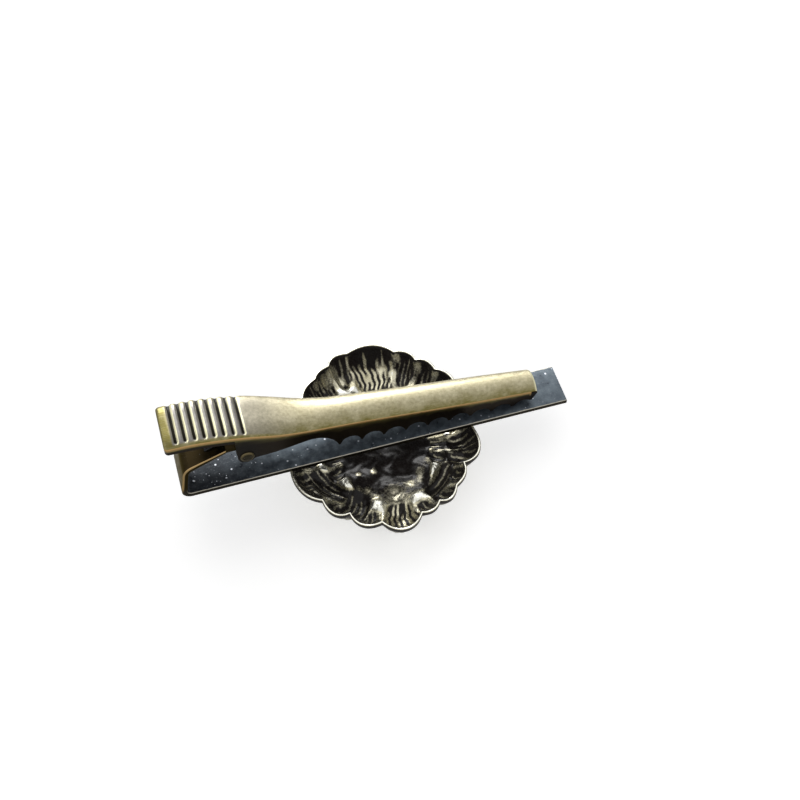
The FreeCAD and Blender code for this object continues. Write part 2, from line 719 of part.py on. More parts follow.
def raised(name, face, height, up):
    """A face drawn out along Z into a solid."""
    solid = doc.addObject("Part::Extrusion", name)
    solid.Base = face
    solid.DirMode = "Custom"
    solid.Dir = Vector(0, 0, 1 if up else -1)
    solid.Solid = True
    bind(solid, LengthFwd=height)
    return solid


EMBLEM_DEPTH = "(emblem_lip + emblem_rim_rise + 2 * emblem_relief + overrun)"


def make_lion_emblem():
    wall = size["emblem_wall"]
    front = raised("emblem_front_block", emblem_surface("emblem_front", 0), "2 * %s" % EMBLEM_DEPTH, True)
    back = raised("emblem_back_block", emblem_surface("emblem_back", wall), "2 * %s" % EMBLEM_DEPTH, True)
    rim = raised("emblem_rim_block", emblem_rim("emblem_outline", 0), EMBLEM_DEPTH, False)
    mouth = raised("emblem_mouth_block", emblem_rim("emblem_mouth", wall), EMBLEM_DEPTH, False)
    casting = combine("Part::MultiCommon", "emblem_casting", [front, rim])
    hollow = combine("Part::MultiCommon", "emblem_hollow", [back, mouth])
    return cut("lion_emblem", casting, hollow), hollow


def make_solder_joints(hollow):
    """Beads of solder in the corners where the bar crosses the emblem's rim."""
    beads = []
    for side, label in (("-", "hinge"), ("+", "free")):
        bead = doc.addObject("Part::Sphere", "solder_bead_" + label)
        bind(bead, Radius="solder_radius")
        place(bead, "emblem_offset_x %s (emblem_width / 2 - solder_inset)" % side, "0", "-bar_thickness")
        beads.append(bead)
    return combine("Part::MultiCommon", "solder_joints",
                   [combine("Part::MultiFuse", "solder_beads", beads), hollow])


emblem, emblem_hollow = make_lion_emblem()
nodes = [
    make_front_bar(),
    make_clip_lever(),
    make_hinge_pin(),
    make_leaf_spring(),
    emblem,
    make_solder_joints(emblem_hollow),
]
doc.recompute()

for part in doc.Objects:
    if {"Invalid", "Error"} & set(part.State):
        raise RuntimeError("%s failed: %s" % (part.Label, part.State))
for part in nodes:
    if part.Shape.isNull() or not part.Shape.isValid() or not part.Shape.Solids:
        raise RuntimeError("%s has no valid solid" % part.Label)

os.makedirs("parts", exist_ok=True)
for part in nodes:
    part.Shape.exportStep("parts/%s.step" % part.Label)
    print("%-14s %d solid(s) %8.2f mm3" % (part.Label, len(part.Shape.Solids), part.Shape.Volume))
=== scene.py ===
# %% [markdown]
# # An antique brass tie clip with a lion-head emblem
#
# The clip lies on its face and shows its back: a dark plated bar, a brushed brass lever with a grooved thumb
# grip and a toothed jaw, the rivet that the lever turns on, and the hollow back of a cast lion head.
# The solid construction model is loaded first and stays where it is. The pieces made below are worked out in
# millimetres from its boxes and its hinge, so each one lands on the solid piece that it dresses.

# %% Load the frame
import json
import math

import bpy
import numpy as np
from mathutils import Matrix, Vector


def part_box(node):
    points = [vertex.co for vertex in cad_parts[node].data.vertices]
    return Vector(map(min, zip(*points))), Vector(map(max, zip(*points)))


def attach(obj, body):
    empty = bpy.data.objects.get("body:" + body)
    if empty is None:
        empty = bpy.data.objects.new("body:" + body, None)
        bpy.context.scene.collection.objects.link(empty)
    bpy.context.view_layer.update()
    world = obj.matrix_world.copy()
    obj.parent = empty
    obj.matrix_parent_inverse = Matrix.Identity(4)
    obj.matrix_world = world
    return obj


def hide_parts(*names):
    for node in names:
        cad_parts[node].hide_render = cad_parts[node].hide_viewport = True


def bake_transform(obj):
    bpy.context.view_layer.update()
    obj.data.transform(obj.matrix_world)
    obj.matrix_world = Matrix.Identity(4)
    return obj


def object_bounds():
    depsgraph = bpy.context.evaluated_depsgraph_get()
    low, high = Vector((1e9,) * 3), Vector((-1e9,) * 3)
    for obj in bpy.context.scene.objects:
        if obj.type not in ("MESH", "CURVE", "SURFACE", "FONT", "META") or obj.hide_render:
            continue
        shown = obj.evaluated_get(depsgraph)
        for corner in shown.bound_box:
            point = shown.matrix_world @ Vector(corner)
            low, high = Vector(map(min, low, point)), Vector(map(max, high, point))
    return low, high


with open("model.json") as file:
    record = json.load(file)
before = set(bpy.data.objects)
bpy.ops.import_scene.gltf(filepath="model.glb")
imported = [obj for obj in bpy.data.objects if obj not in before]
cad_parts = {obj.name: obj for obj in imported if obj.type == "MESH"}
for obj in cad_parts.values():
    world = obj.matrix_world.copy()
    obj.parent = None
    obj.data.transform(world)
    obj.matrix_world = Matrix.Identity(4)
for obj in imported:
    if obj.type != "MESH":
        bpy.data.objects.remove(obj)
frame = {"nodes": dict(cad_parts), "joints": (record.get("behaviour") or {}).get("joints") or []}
cad_low, cad_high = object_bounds()
MM = 0.001


def node_box(node):
    """Lowest and highest corner of a solid piece, in millimetres."""
    low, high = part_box(node)
    return np.array(low) / MM, np.array(high) / MM


bar_low, bar_high = node_box("front_bar")
lever_low, lever_high = node_box("clip_lever")
hinge = np.array(frame["joints"][0]["pos_m"]) / MM
print("bar", bar_low, bar_high)
print("lever", lever_low, lever_high, "hinge", hinge)

# %% [markdown]
# ## The camera
#
# A photograph fixes the camera by its direction, its distance and its lens. Azimuth and elevation give the
# direction, and a lens of 55 mm on a 36 mm sensor gives the same mild perspective as the picture: the bar's
# near end looks a little larger than its far end.

# %% Put the camera where the photograph was taken
CAMERA_AZIMUTH = math.radians(-16.5)
CAMERA_ELEVATION = math.radians(55.3)
CAMERA_PLACE = Vector((-24.18, -96.01, 150.38)) * MM
CAMERA_LENS = 55.26
CAMERA_SENSOR = 36.0

right = Vector((math.cos(CAMERA_AZIMUTH), math.sin(CAMERA_AZIMUTH), 0))
back = Vector((math.sin(CAMERA_AZIMUTH) * math.cos(CAMERA_ELEVATION),
               -math.cos(CAMERA_AZIMUTH) * math.cos(CAMERA_ELEVATION), math.sin(CAMERA_ELEVATION)))
above = back.cross(right)
camera_data = bpy.data.cameras.new("photo_camera")
camera_data.lens = CAMERA_LENS
camera_data.sensor_width = CAMERA_SENSOR
camera = bpy.data.objects.new("photo_camera", camera_data)
bpy.context.scene.collection.objects.link(camera)
turn = Matrix((right, above, back)).transposed()
camera.matrix_world = Matrix.Translation(CAMERA_PLACE) @ turn.to_4x4()
bpy.context.scene.camera = camera
print("camera looks along", [round(-part, 3) for part in back])

# %% [markdown]
# ## Short ways to add nodes
#
# Every finish and every node tree below is built in code. One function adds a node, sets its properties and
# feeds its inputs, either with a fixed value or with a link from another node.


# %% Add a node
def feed(tree, socket, source):
    """Links a socket to another node's output, or sets it to a fixed value."""
    if isinstance(source, bpy.types.NodeSocket):
        tree.links.new(source, socket)
    else:
        socket.default_value = source


def add(tree, kind, inputs=None, **settings):
    """A new node with its settings and its inputs, which are named or counted."""
    node = tree.nodes.new(kind)
    for name, setting in settings.items():
        setattr(node, name, setting)
    for name, source in (inputs or {}).items():
        feed(tree, node.inputs[name], source)
    return node


# %% [markdown]
# A finish is a short recipe: take the piece's own coordinates, make noise from them, stretch a part of the
# noise to the range from 0 to 1, and use it to mix two colours. These functions are the words of that recipe.
# Noise seldom leaves the span from 0.3 to 0.7, so that span is the one most often stretched.

# %% Recipes for finishes
NOISE_SPAN = (0.3, 0.7)


def maths(tree, operation, first, second=0.0):
    """Result of one operation on one or two values."""
    return add(tree, "ShaderNodeMath", {0: first, 1: second}, operation=operation).outputs[0]


def mixed(tree, share, low, high):
    """Colour between two colours."""
    return add(tree, "ShaderNodeMix", {0: share, 6: low, 7: high}, data_type="RGBA").outputs[2]


def ranged(tree, value, low, high, to_low=0.0, to_high=1.0):
    """Value moved from one range to another and kept inside it."""
    inputs = {"Value": value, "From Min": low, "From Max": high, "To Min": to_low, "To Max": to_high}
    return add(tree, "ShaderNodeMapRange", inputs).outputs["Result"]


def millimetres(tree, stretch=(1, 1, 1)):
    """The piece's own coordinates in millimetres, stretched where a pattern needs it."""
    place = add(tree, "ShaderNodeTexCoord").outputs["Object"]
    scale = [part / MM for part in stretch]
    return add(tree, "ShaderNodeMapping", {"Vector": place, "Scale": scale}).outputs["Vector"]


def noise(tree, place, scale, detail=3.0, roughness=0.55):
    """Cloudy noise from 0 to 1."""
    inputs = {"Vector": place, "Scale": scale, "Detail": detail, "Roughness": roughness}
    return add(tree, "ShaderNodeTexNoise", inputs).outputs[0]


def painted(tree, name):
    """Value that the mesh carries on its points."""
    return add(tree, "ShaderNodeAttribute", attribute_name=name).outputs["Fac"]


def bumped(tree, height, distance, strength=1.0):
    """Small unevenness of the surface, with its height in millimetres."""
    inputs = {"Height": height, "Distance": distance * MM, "Strength": strength}
    return add(tree, "ShaderNodeBump", inputs).outputs["Normal"]


# %% [markdown]
# A finish starts as an empty node tree and ends in one Principled shader, which takes the mixed colour, the
# roughness, the share of metal and the small unevenness. Numbers that are the same all over the piece, such
# as the specular level, are set on the shader's own sockets, because an export drops them where they come
# through a link.


# %% Start and end of a finish
def blank_finish(name):
    """A new material and its empty node tree."""
    material = bpy.data.materials.new(name)
    material.use_nodes = True
    material.node_tree.nodes.clear()
    return material, material.node_tree


def metal(name, base, roughness, normal, metallic=1.0, **fixed):
    """Ends a finish: a Principled shader fed by the finish's nodes."""
    tree = base.id_data
    inputs = {"Base Color": base, "Roughness": roughness, "Metallic": metallic, "Normal": normal}
    shader = add(tree, "ShaderNodeBsdfPrincipled", inputs)
    for socket, value in fixed.items():
        shader.inputs[socket.replace("_", " ")].default_value = value
    add(tree, "ShaderNodeOutputMaterial", {"Surface": shader.outputs[0]})
    print("finish", name, "with", len(tree.nodes), "nodes")


# %% [markdown]
# ## Backdrop, floor and lights
#
# Metal shows what is around it more than its own colour, so the room comes before the finishes. The picture
# has a white ground and soft light from above and behind the clip, which whitens the far side of the lever
# and leaves its near side olive. The world is plain white where the camera or a reflection sees it, and
# dimmer as a light.

# %% World
WORLD_LIGHT = 0.55
WHITE = (1, 1, 1, 1)

world = bpy.data.worlds.new("white_room")
bpy.context.scene.world = world
world.use_nodes = True
room = world.node_tree
room.nodes.clear()
path = add(room, "ShaderNodeLightPath")
seen = maths(room, "MAXIMUM", path.outputs["Is Camera Ray"], path.outputs["Is Glossy Ray"])
seen = maths(room, "MAXIMUM", seen, path.outputs["Is Transmission Ray"])
strength = ranged(room, seen, 0.0, 1.0, WORLD_LIGHT, 1.0)
ground = add(room, "ShaderNodeBackground", {"Color": WHITE, "Strength": strength})
add(room, "ShaderNodeOutputWorld", {"Surface": ground.outputs[0]})
bpy.context.scene.view_settings.view_transform = "Standard"
print("world lights with", WORLD_LIGHT)

# %% [markdown]
# The floor is a sheet of pale paper at the clip's lowest point. It keeps the soft shadow, glows a little to
# the camera so that it stays as white as the ground of the picture, and is clear when seen from below.

# %% Floor
FLOOR_HALF = 900 * MM
FLOOR_COLOUR = (0.86, 0.86, 0.86, 1)
FLOOR_LIFT = 0.5

floor_z = cad_low.z
floor_mesh = bpy.data.meshes.new("floor")
corners = [(x * FLOOR_HALF, y * FLOOR_HALF, floor_z) for x, y in ((-1, -1), (1, -1), (1, 1), (-1, 1))]
floor_mesh.from_pydata(corners, [], [(0, 1, 2, 3)])
floor = bpy.data.objects.new("floor", floor_mesh)
bpy.context.scene.collection.objects.link(floor)
paper, tree = blank_finish("pale_paper")
path = add(tree, "ShaderNodeLightPath")
lift = maths(tree, "MULTIPLY", path.outputs["Is Camera Ray"], FLOOR_LIFT)
matt = add(tree, "ShaderNodeBsdfDiffuse", {"Color": FLOOR_COLOUR})
glow = add(tree, "ShaderNodeEmission", {"Strength": lift})
both = add(tree, "ShaderNodeAddShader", {0: matt.outputs[0], 1: glow.outputs[0]})
below = add(tree, "ShaderNodeNewGeometry").outputs["Backfacing"]
clear = add(tree, "ShaderNodeBsdfTransparent")
surface = add(tree, "ShaderNodeMixShader", {0: below, 1: both.outputs[0], 2: clear.outputs[0]})
add(tree, "ShaderNodeOutputMaterial", {"Surface": surface.outputs[0]})
floor_mesh.materials.append(paper)
print("floor at", round(floor_z / MM, 2), "mm")

# %% [markdown]
# Four square lights stand round the clip. The key light hangs above and behind, and the side light fills the
# near side a little. The back light and the rib light are there only to be mirrored: the first lies as a
# white band along the lever's far side, the second on the flanks of the thumb grooves. They light nothing
# that is matt, so the floor keeps its even white.

# %% Soft lights
LIGHTS = [
    ("key_light", (40, 330, 430), 520, 0.6),
    ("back_light", (0, 560, 210), 460, 5.0),
    ("side_light", (-420, -60, 300), 260, 0.10),
    ("rib_light", (-380, 330, 330), 260, 0.40),
]
MIRROR_LIGHTS = ("back_light", "rib_light")

for name, place, side, power in LIGHTS:
    lamp = bpy.data.lights.new(name, "AREA")
    lamp.shape = "SQUARE"
    lamp.size = side * MM
    lamp.energy = power
    light = bpy.data.objects.new(name, lamp)
    light.location = Vector(place) * MM
    light.rotation_euler = (-Vector(place)).to_track_quat("-Z", "Y").to_euler()
    light.visible_diffuse = name not in MIRROR_LIGHTS
    bpy.context.scene.collection.objects.link(light)
print("lights", [name for name, *_ in LIGHTS])

# %% [markdown]
# ## Dark plate
#
# The bar is plated dark, almost blue-grey. Near the hinge end, under the tongue and the lever, it is painted
# darker as shade, and it is cloudier towards its free end, with fine grey specks all over.

# %% Colour of the plate
CLOUD_SPAN = (0.25, 0.75)
PLATE_TONES = ((0.046, 0.059, 0.078, 1), (0.124, 0.153, 0.178, 1))
HINGE_SHADE_PLATE = (0.013, 0.016, 0.023, 1)
HINGE_SHADE_REACH = (6, 17)
HINGE_SHADE_SHARE = 0.85
SPECKLES_PER_MM = 3.2
SPECKLE_SPAN = (0.56, 0.74)
SPECKLE_SHARE = 0.45
SPECKLE_GREY = (0.19, 0.21, 0.215, 1)


def plate_colour(tree, place, along, cloud):
    """The plate's colour before pits and wear: clouds, painted shade towards the hinge end and grey specks.
    """
    base = mixed(tree, ranged(tree, cloud, *CLOUD_SPAN), *PLATE_TONES)
    start, end = (bar_low[0] + reach for reach in HINGE_SHADE_REACH)
    # painted shade: the plate darkens towards the hinge end, where the tongue and the lever hang over it
    base = mixed(tree, ranged(tree, along, start, end, HINGE_SHADE_SHARE, 0.0), base, HINGE_SHADE_PLATE)
    speckle = noise(tree, place, SPECKLES_PER_MM, detail=4.0, roughness=0.7)
    return mixed(tree, ranged(tree, speckle, *SPECKLE_SPAN, 0.0, SPECKLE_SHARE), base, SPECKLE_GREY)


# %% [markdown]
# Wear has left bright pits in the plate. The middles of Voronoi cells make round dots, and each cell's own
# random colour chooses which of them show. Two sizes of cells give large and small pits. Each size has its
# cells per millimetre and the share of them that stays hidden, and a value that is added near the hinge end
# makes more of them show there.

# %% Pits in the plate
PIT_LAYERS = ((0.85, 0.55), (2.1, 0.86))
PIT_SPAN = (0.15, 0.07)
PIT_CHOICE_SPAN = 0.05
CROWDED_REACH = (14, 7)
CROWDED_SHARE = 0.50


def plate_pits(tree, place, along):
    """Bright pits in two sizes, from 0 to 1."""
    start, end = (bar_low[0] + reach for reach in CROWDED_REACH)
    crowded = ranged(tree, along, start, end, 0.0, CROWDED_SHARE)
    layers = []
    for scale, share in PIT_LAYERS:
        cells = add(tree, "ShaderNodeTexVoronoi", {"Vector": place, "Scale": scale})
        pit = ranged(tree, cells.outputs["Distance"], *PIT_SPAN)
        chosen = add(tree, "ShaderNodeSeparateXYZ", {0: cells.outputs["Color"]}).outputs["X"]
        chosen = ranged(tree, maths(tree, "ADD", chosen, crowded), share, share + PIT_CHOICE_SPAN)
        layers.append(maths(tree, "MULTIPLY", pit, chosen))
    return maths(tree, "MAXIMUM", *layers)


# %% [markdown]
# Edges wear first. On the flat bar the cut edge is painted black as shade, with a thin line of bare brass
# just inside it that is also a painted highlight. On the end wall and the tongue the flank is painted dark as
# shade, and its outer corner is rubbed to bronze and painted as a highlight line. The strip's mesh knows how
# deep in the sheet each point lies, which tells the outer corner from the inner one.

# %% Worn edges of the bar, with painted shade and highlights
FLANK_SPAN = (0.16, 0.12)
OUTER_CORNER_SPAN = (0.10, 0.18)
FLANK_SHADE_BLACK = (0.014, 0.010, 0.005, 1)
FLANK_BRONZE_HIGHLIGHT = (0.42, 0.29, 0.135, 1)
EDGE_SPAN = (0.06, 0.01)
EDGE_SHADE_BLACK = (0.010, 0.008, 0.006, 1)
WORN_WANDER = (-0.05, 0.03)
WORN_WAVES_PER_MM = 1.3
WORN_SPAN = (0.17, 0.11)
WORN_END_SPAN = (0.02, 0.05)
WORN_BRASS_HIGHLIGHT = (0.46, 0.43, 0.36, 1)


def from_edge(tree, value, span):
    """A range given as distances in from the bar's edge."""
    return ranged(tree, value, bar_high[1] - span[0], bar_high[1] - span[1])


def worn_and_shaded_edges(tree, base, place, side, raised):
    """The bar's colour with its worn edges, painted shade on its side faces and painted highlight lines: side
    is the distance from the bar's middle line.
    """
    outer = ranged(tree, painted(tree, "strip_depth"), *(depth * MM for depth in OUTER_CORNER_SPAN))
    flank = maths(tree, "MULTIPLY", from_edge(tree, side, FLANK_SPAN), raised)
    # painted shade on the flank, and at its outer corner worn bronze that is also a painted highlight
    base = mixed(tree, flank, base, mixed(tree, outer, FLANK_SHADE_BLACK, FLANK_BRONZE_HIGHLIGHT))
    flat = maths(tree, "SUBTRACT", 1.0, raised)
    edge = maths(tree, "MULTIPLY", from_edge(tree, side, EDGE_SPAN), flat)
    # painted shade: the flat bar's cut edge is black
    base = mixed(tree, edge, base, EDGE_SHADE_BLACK)
    wander = ranged(tree, noise(tree, place, WORN_WAVES_PER_MM), *NOISE_SPAN, *WORN_WANDER)
    worn = from_edge(tree, maths(tree, "ADD", side, wander), WORN_SPAN)
    worn = maths(tree, "MULTIPLY", worn, from_edge(tree, side, WORN_END_SPAN))
    # worn brass line just inside the edge, which is also a painted highlight
    return mixed(tree, maths(tree, "MULTIPLY", worn, flat), base, WORN_BRASS_HIGHLIGHT)


# %% [markdown]
# The finish puts these together. Above the flat bar the plate has browned, and the tongue lies in the lever's
# shade, so the end wall and the tongue are mixed to dark brown by their height: browned plate, with painted
# shade under the lever. Scratches are noise stretched along the bar, and both scratches and pits also bend
# the light a little.

# %% Finish of the bar
CLOUDS_PER_MM = 0.8
RAISED_SPAN = (0.2, 1.6)
PIT_END_SHARE = 0.3
BROWN_AND_SHADE_TONES = ((0.010, 0.007, 0.003, 1), (0.030, 0.021, 0.009, 1))
SCRATCH_STRETCH = (0.45, 8.0, 8.0)
SCRATCH_SPAN = (0.68, 0.76)
SCRATCH_SHARE = 0.25
SCRATCH_GREY = (0.32, 0.34, 0.37, 1)
PIT_WHITE = (0.80, 0.84, 0.92, 1)
PLATE_ROUGHNESS = (0.26, 0.42)
PLATE_BUMP = (0.012, 0.5)
PLATE_METAL = (0.6, 0.95)
PLATE_TINT = (0.80, 0.72, 0.52, 1)


def dark_plate():
    """The bar's finish: plate, browning, scratches, pits and worn edges, with painted shade at the hinge end,
    under the lever and on the side faces, and painted highlight lines.
    """
    material, tree = blank_finish("dark_plate")
    place = millimetres(tree)
    x_y_z = add(tree, "ShaderNodeSeparateXYZ", {0: place}).outputs
    cloud = noise(tree, place, CLOUDS_PER_MM, detail=6.0, roughness=0.6)
    base = plate_colour(tree, place, x_y_z["X"], cloud)
    raised = ranged(tree, x_y_z["Z"], *RAISED_SPAN)
    # dark brown by height: browned plate, and painted shade where the lever hangs over the tongue
    base = mixed(tree, raised, base, mixed(tree, cloud, *BROWN_AND_SHADE_TONES))
    scratch = noise(tree, millimetres(tree, SCRATCH_STRETCH), scale=1.0, detail=2.0)
    scratch = ranged(tree, scratch, *SCRATCH_SPAN)
    base = mixed(tree, maths(tree, "MULTIPLY", scratch, SCRATCH_SHARE), base, SCRATCH_GREY)
    on_flat = ranged(tree, raised, 0.0, PIT_END_SHARE, 1.0, 0.0)
    pits = maths(tree, "MULTIPLY", plate_pits(tree, place, x_y_z["X"]), on_flat)
    base = mixed(tree, pits, base, PIT_WHITE)
    base = worn_and_shaded_edges(tree, base, place, maths(tree, "ABSOLUTE", x_y_z["Y"]), raised)
    roughness = ranged(tree, cloud, *NOISE_SPAN, *PLATE_ROUGHNESS)
    normal = bumped(tree, maths(tree, "ADD", scratch, pits), *PLATE_BUMP)
    metallic = ranged(tree, raised, 0.0, 1.0, *PLATE_METAL)
    metal("dark_plate", base, roughness, normal, metallic, Specular_Tint=PLATE_TINT, Specular_IOR_Level=0.35)
    return material


finishes = {"dark_plate": dark_plate()}

# %% [markdown]
# ## Brushed antique brass
#
# The lever was darkened all over and then brushed bright where a wheel could reach: the crown is pale, the
# brass turns olive towards the sides, and the bent edge is worn to warm bronze. The pale crown is shifted
# towards the far side and runs over the far bent edge, which is partly wear and partly a painted highlight
# where the far side catches the light. The grip's end before the grooves stays olive as painted shade. The
# patina stays on the upright walls; the grooves are painted black on one wall as shade, and the ridges
# between them are grey with one flank painted bright as a highlight. The mesh carries these six zones on its
# points and the finish reads them, so the colours follow the shape.

# %% Finish of the lever
BRUSHED_GRAINS_PER_MM = 2.2
PATCHES_PER_MM = 0.55
CROWN_PATCHES = 0.22
CROWN_SPAN = (0.06, 0.92)
WORN_AND_SHEEN_TONES = ((0.150, 0.129, 0.034, 1), (0.47, 0.425, 0.285, 1))
STAIN_SPAN = (0.30, 0.62)
STAIN_SHARE = 0.50
STAIN_OLIVE = (0.125, 0.110, 0.055, 1)
BRUSH_STRETCH = (0.35, 7.0, 7.0)
BRUSH_SPAN = (0.45, 0.75)
BRUSH_SHARE = 0.20
BRUSHED_PALE = (0.56, 0.52, 0.36, 1)
RIDGE_GREYS = ((0.10, 0.095, 0.090, 1), (0.30, 0.285, 0.27, 1))
GLINT_CREAM = (0.72, 0.69, 0.46, 1)
WALL_TONES = ((0.006, 0.005, 0.004, 1), (0.034, 0.022, 0.011, 1))
CREASE_SPAN = (0.25, 0.55)
CREASE_LEAST = 0.7
CREASE_BRONZE = (0.46, 0.29, 0.12, 1)
SHADE_BLACK = (0.010, 0.009, 0.007, 1)
BRUSHED_ROUGHNESS = (0.30, 0.46)
BRUSHED_BUMP = (0.010, 0.35)


def brushed_brass():
    """The lever's finish, which follows the six zones that its mesh carries."""
    material, tree = blank_finish("antique_brass")
    place = millimetres(tree)
    grain = noise(tree, place, BRUSHED_GRAINS_PER_MM, detail=7.0, roughness=0.72)
    patch = noise(tree, place, PATCHES_PER_MM)
    patch = ranged(tree, patch, *NOISE_SPAN, -CROWN_PATCHES, CROWN_PATCHES)
    brush = noise(tree, millimetres(tree, BRUSH_STRETCH), scale=1.0, detail=4.0)
    crown = maths(tree, "ADD", painted(tree, "crown"), patch)
    # olive to pale: brushing wear, and a painted highlight where the crown is shifted to the far side
    base = mixed(tree, ranged(tree, crown, *CROWN_SPAN), *WORN_AND_SHEEN_TONES)
    base = mixed(tree, ranged(tree, grain, *STAIN_SPAN, STAIN_SHARE, 0.0), base, STAIN_OLIVE)
    base = mixed(tree, ranged(tree, brush, *BRUSH_SPAN, 0.0, BRUSH_SHARE), base, BRUSHED_PALE)
    base = mixed(tree, painted(tree, "ridge"), base, mixed(tree, grain, *RIDGE_GREYS))
    # painted highlight: cream on the lit flank of each groove and on the jaw's rounded tip
    base = mixed(tree, painted(tree, "glint"), base, GLINT_CREAM)
    base = mixed(tree, painted(tree, "wall"), base, mixed(tree, grain, *WALL_TONES))
    worn = ranged(tree, grain, *CREASE_SPAN, CREASE_LEAST, 1.0)
    worn = maths(tree, "MULTIPLY", painted(tree, "crease"), worn)
    base = mixed(tree, worn, base, CREASE_BRONZE)
    # painted shade: black on the shaded wall of each groove, on the walls round the rivet and beyond the
    # jaw's tip
    base = mixed(tree, painted(tree, "groove"), base, SHADE_BLACK)
    roughness = ranged(tree, grain, *NOISE_SPAN, *BRUSHED_ROUGHNESS)
    normal = bumped(tree, maths(tree, "ADD", grain, brush), *BRUSHED_BUMP)
    metal("antique_brass", base, roughness, normal)
    return material


finishes["antique_brass"] = brushed_brass()

# %% [markdown]
# ## Cast brass
#
# The casting was dipped black and rubbed, so black stays in the hollows and pale brass shows on every ridge.
# Its mesh carries how far each point stands proud of its neighbours, and grain makes the border ragged. Black
# patina is not a metal, so the finish turns metallic only where the brass is bare.

# %% Finish of the casting
CAST_GRAINS_PER_MM = 3.0
TONES_PER_MM = 0.25
BORDER_GRAIN = 0.18
BORDER_SPAN = (0.30, 0.75)
METAL_SPAN = (0.25, 0.6)
BARE_METAL = 0.82
RUBBED_SPAN = (0.94, 1.0)
PALE_TONES = ((0.48, 0.43, 0.26, 1), (0.80, 0.77, 0.62, 1))
RUBBED_PALE = (0.88, 0.87, 0.78, 1)
PATINA_TONES = ((0.009, 0.009, 0.010, 1), (0.024, 0.018, 0.015, 1))
CAST_ROUGHNESS = (0.18, 0.36)
CAST_BUMP = (0.02, 0.5)


def cast_brass():
    """The casting's finish: black patina, and bare brass on what stands proud."""
    material, tree = blank_finish("cast_brass")
    place = millimetres(tree)
    grain = noise(tree, place, CAST_GRAINS_PER_MM, detail=6.0, roughness=0.65)
    ridge = painted(tree, "ridge")
    proud = maths(tree, "ADD", ridge, ranged(tree, grain, *CLOUD_SPAN, -BORDER_GRAIN, BORDER_GRAIN))
    tone = noise(tree, place, TONES_PER_MM, detail=2.0)
    pale = mixed(tree, tone, *PALE_TONES)
    pale = mixed(tree, ranged(tree, ridge, *RUBBED_SPAN), pale, RUBBED_PALE)
    base = mixed(tree, ranged(tree, proud, *BORDER_SPAN), mixed(tree, tone, *PATINA_TONES), pale)
    roughness = ranged(tree, grain, *NOISE_SPAN, *CAST_ROUGHNESS)
    metallic = ranged(tree, proud, *METAL_SPAN, 0.0, BARE_METAL)
    metal("cast_brass", base, roughness, bumped(tree, grain, *CAST_BUMP), metallic, Specular_IOR_Level=0.16)
    return material


finishes["cast_brass"] = cast_brass()

# %% [markdown]
# ## Rivet, spring and solder
#
# These are small, but each has its own metal: dark peened brass, blued steel and dull grey tin. The rivet is
# rubbed bright round the rim of its head, and that brighter rim is also a painted highlight, so its finish
# measures the distance from the rivet's axis. The other two are one mottled metal in different tones, and the
# spring's mottling is drawn out along its strip.

# %% Finishes of the small pieces
RIVET_GRAINS_PER_MM = 3.0
RIM_SPAN = (0.62, 0.88)
RIM_GRAIN = 0.2
RIM_WORN_HIGHLIGHT = (0.13, 0.105, 0.055, 1)
RIVET_TONES = ((0.012, 0.010, 0.005, 1), (0.050, 0.042, 0.022, 1))
RIVET_ROUGHNESS = (0.28, 0.45)
STEEL_TONES = ((0.020, 0.021, 0.025, 1), (0.075, 0.078, 0.085, 1))
STEEL_ROUGHNESS = (0.2, 0.4)
STEEL_STRETCH = (1, 6, 1)
SOLDER_TONES = ((0.20, 0.19, 0.18, 1), (0.46, 0.44, 0.42, 1))
SOLDER_ROUGHNESS = (0.35, 0.6)
SOLDER_STRETCH = (2, 2, 2)
SMALL_BUMP = (0.01, 0.4)


def rivet_brass():
    """The rivet's finish: dark brass with a rim that is rubbed and also painted as a highlight."""
    material, tree = blank_finish("rivet_brass")
    place = millimetres(tree)
    grain = noise(tree, place, RIVET_GRAINS_PER_MM, detail=5.0)
    flat = add(tree, "ShaderNodeVectorMath", {0: place, 1: (1, 0, 1)}, operation="MULTIPLY").outputs[0]
    axis = (hinge[0], 0, hinge[2])
    out = add(tree, "ShaderNodeVectorMath", {0: flat, 1: axis}, operation="DISTANCE").outputs["Value"]
    ragged = ranged(tree, grain, *NOISE_SPAN, -RIM_GRAIN, RIM_GRAIN)
    rim = maths(tree, "ADD", ranged(tree, out, *RIM_SPAN), ragged)
    # rubbed rim, which is also a painted highlight
    base = mixed(tree, rim, mixed(tree, grain, *RIVET_TONES), RIM_WORN_HIGHLIGHT)
    roughness = ranged(tree, grain, *NOISE_SPAN, *RIVET_ROUGHNESS)
    metal("rivet_brass", base, roughness, bumped(tree, grain, *SMALL_BUMP))
    return material


def plain_metal(name, tones, roughness_span, stretch):
    """Metal mottled in two tones, with its pattern stretched where the piece needs it."""
    material, tree = blank_finish(name)
    tone = noise(tree, millimetres(tree, stretch), scale=1.0, detail=5.0)
    base = mixed(tree, ranged(tree, tone, *NOISE_SPAN), *tones)
    roughness = ranged(tree, tone, *NOISE_SPAN, *roughness_span)
    metal(name, base, roughness, bumped(tree, tone, *SMALL_BUMP))
    return material


finishes["rivet_brass"] = rivet_brass()
finishes["spring_steel"] = plain_metal("spring_steel", STEEL_TONES, STEEL_ROUGHNESS, STEEL_STRETCH)
finishes["solder"] = plain_metal("solder", SOLDER_TONES, SOLDER_ROUGHNESS, SOLDER_STRETCH)

# %% [markdown]
# ## Making meshes from points
#
# The lever and the casting are easiest to give as a grid of points from a formula. These helpers turn a grid
# into faces, make a mesh of them with the painted values on its points, and tell the frame which body the
# piece rides on and which solid piece it stands for.

# %% Mesh helpers
SHARP_ANGLE = math.radians(40)


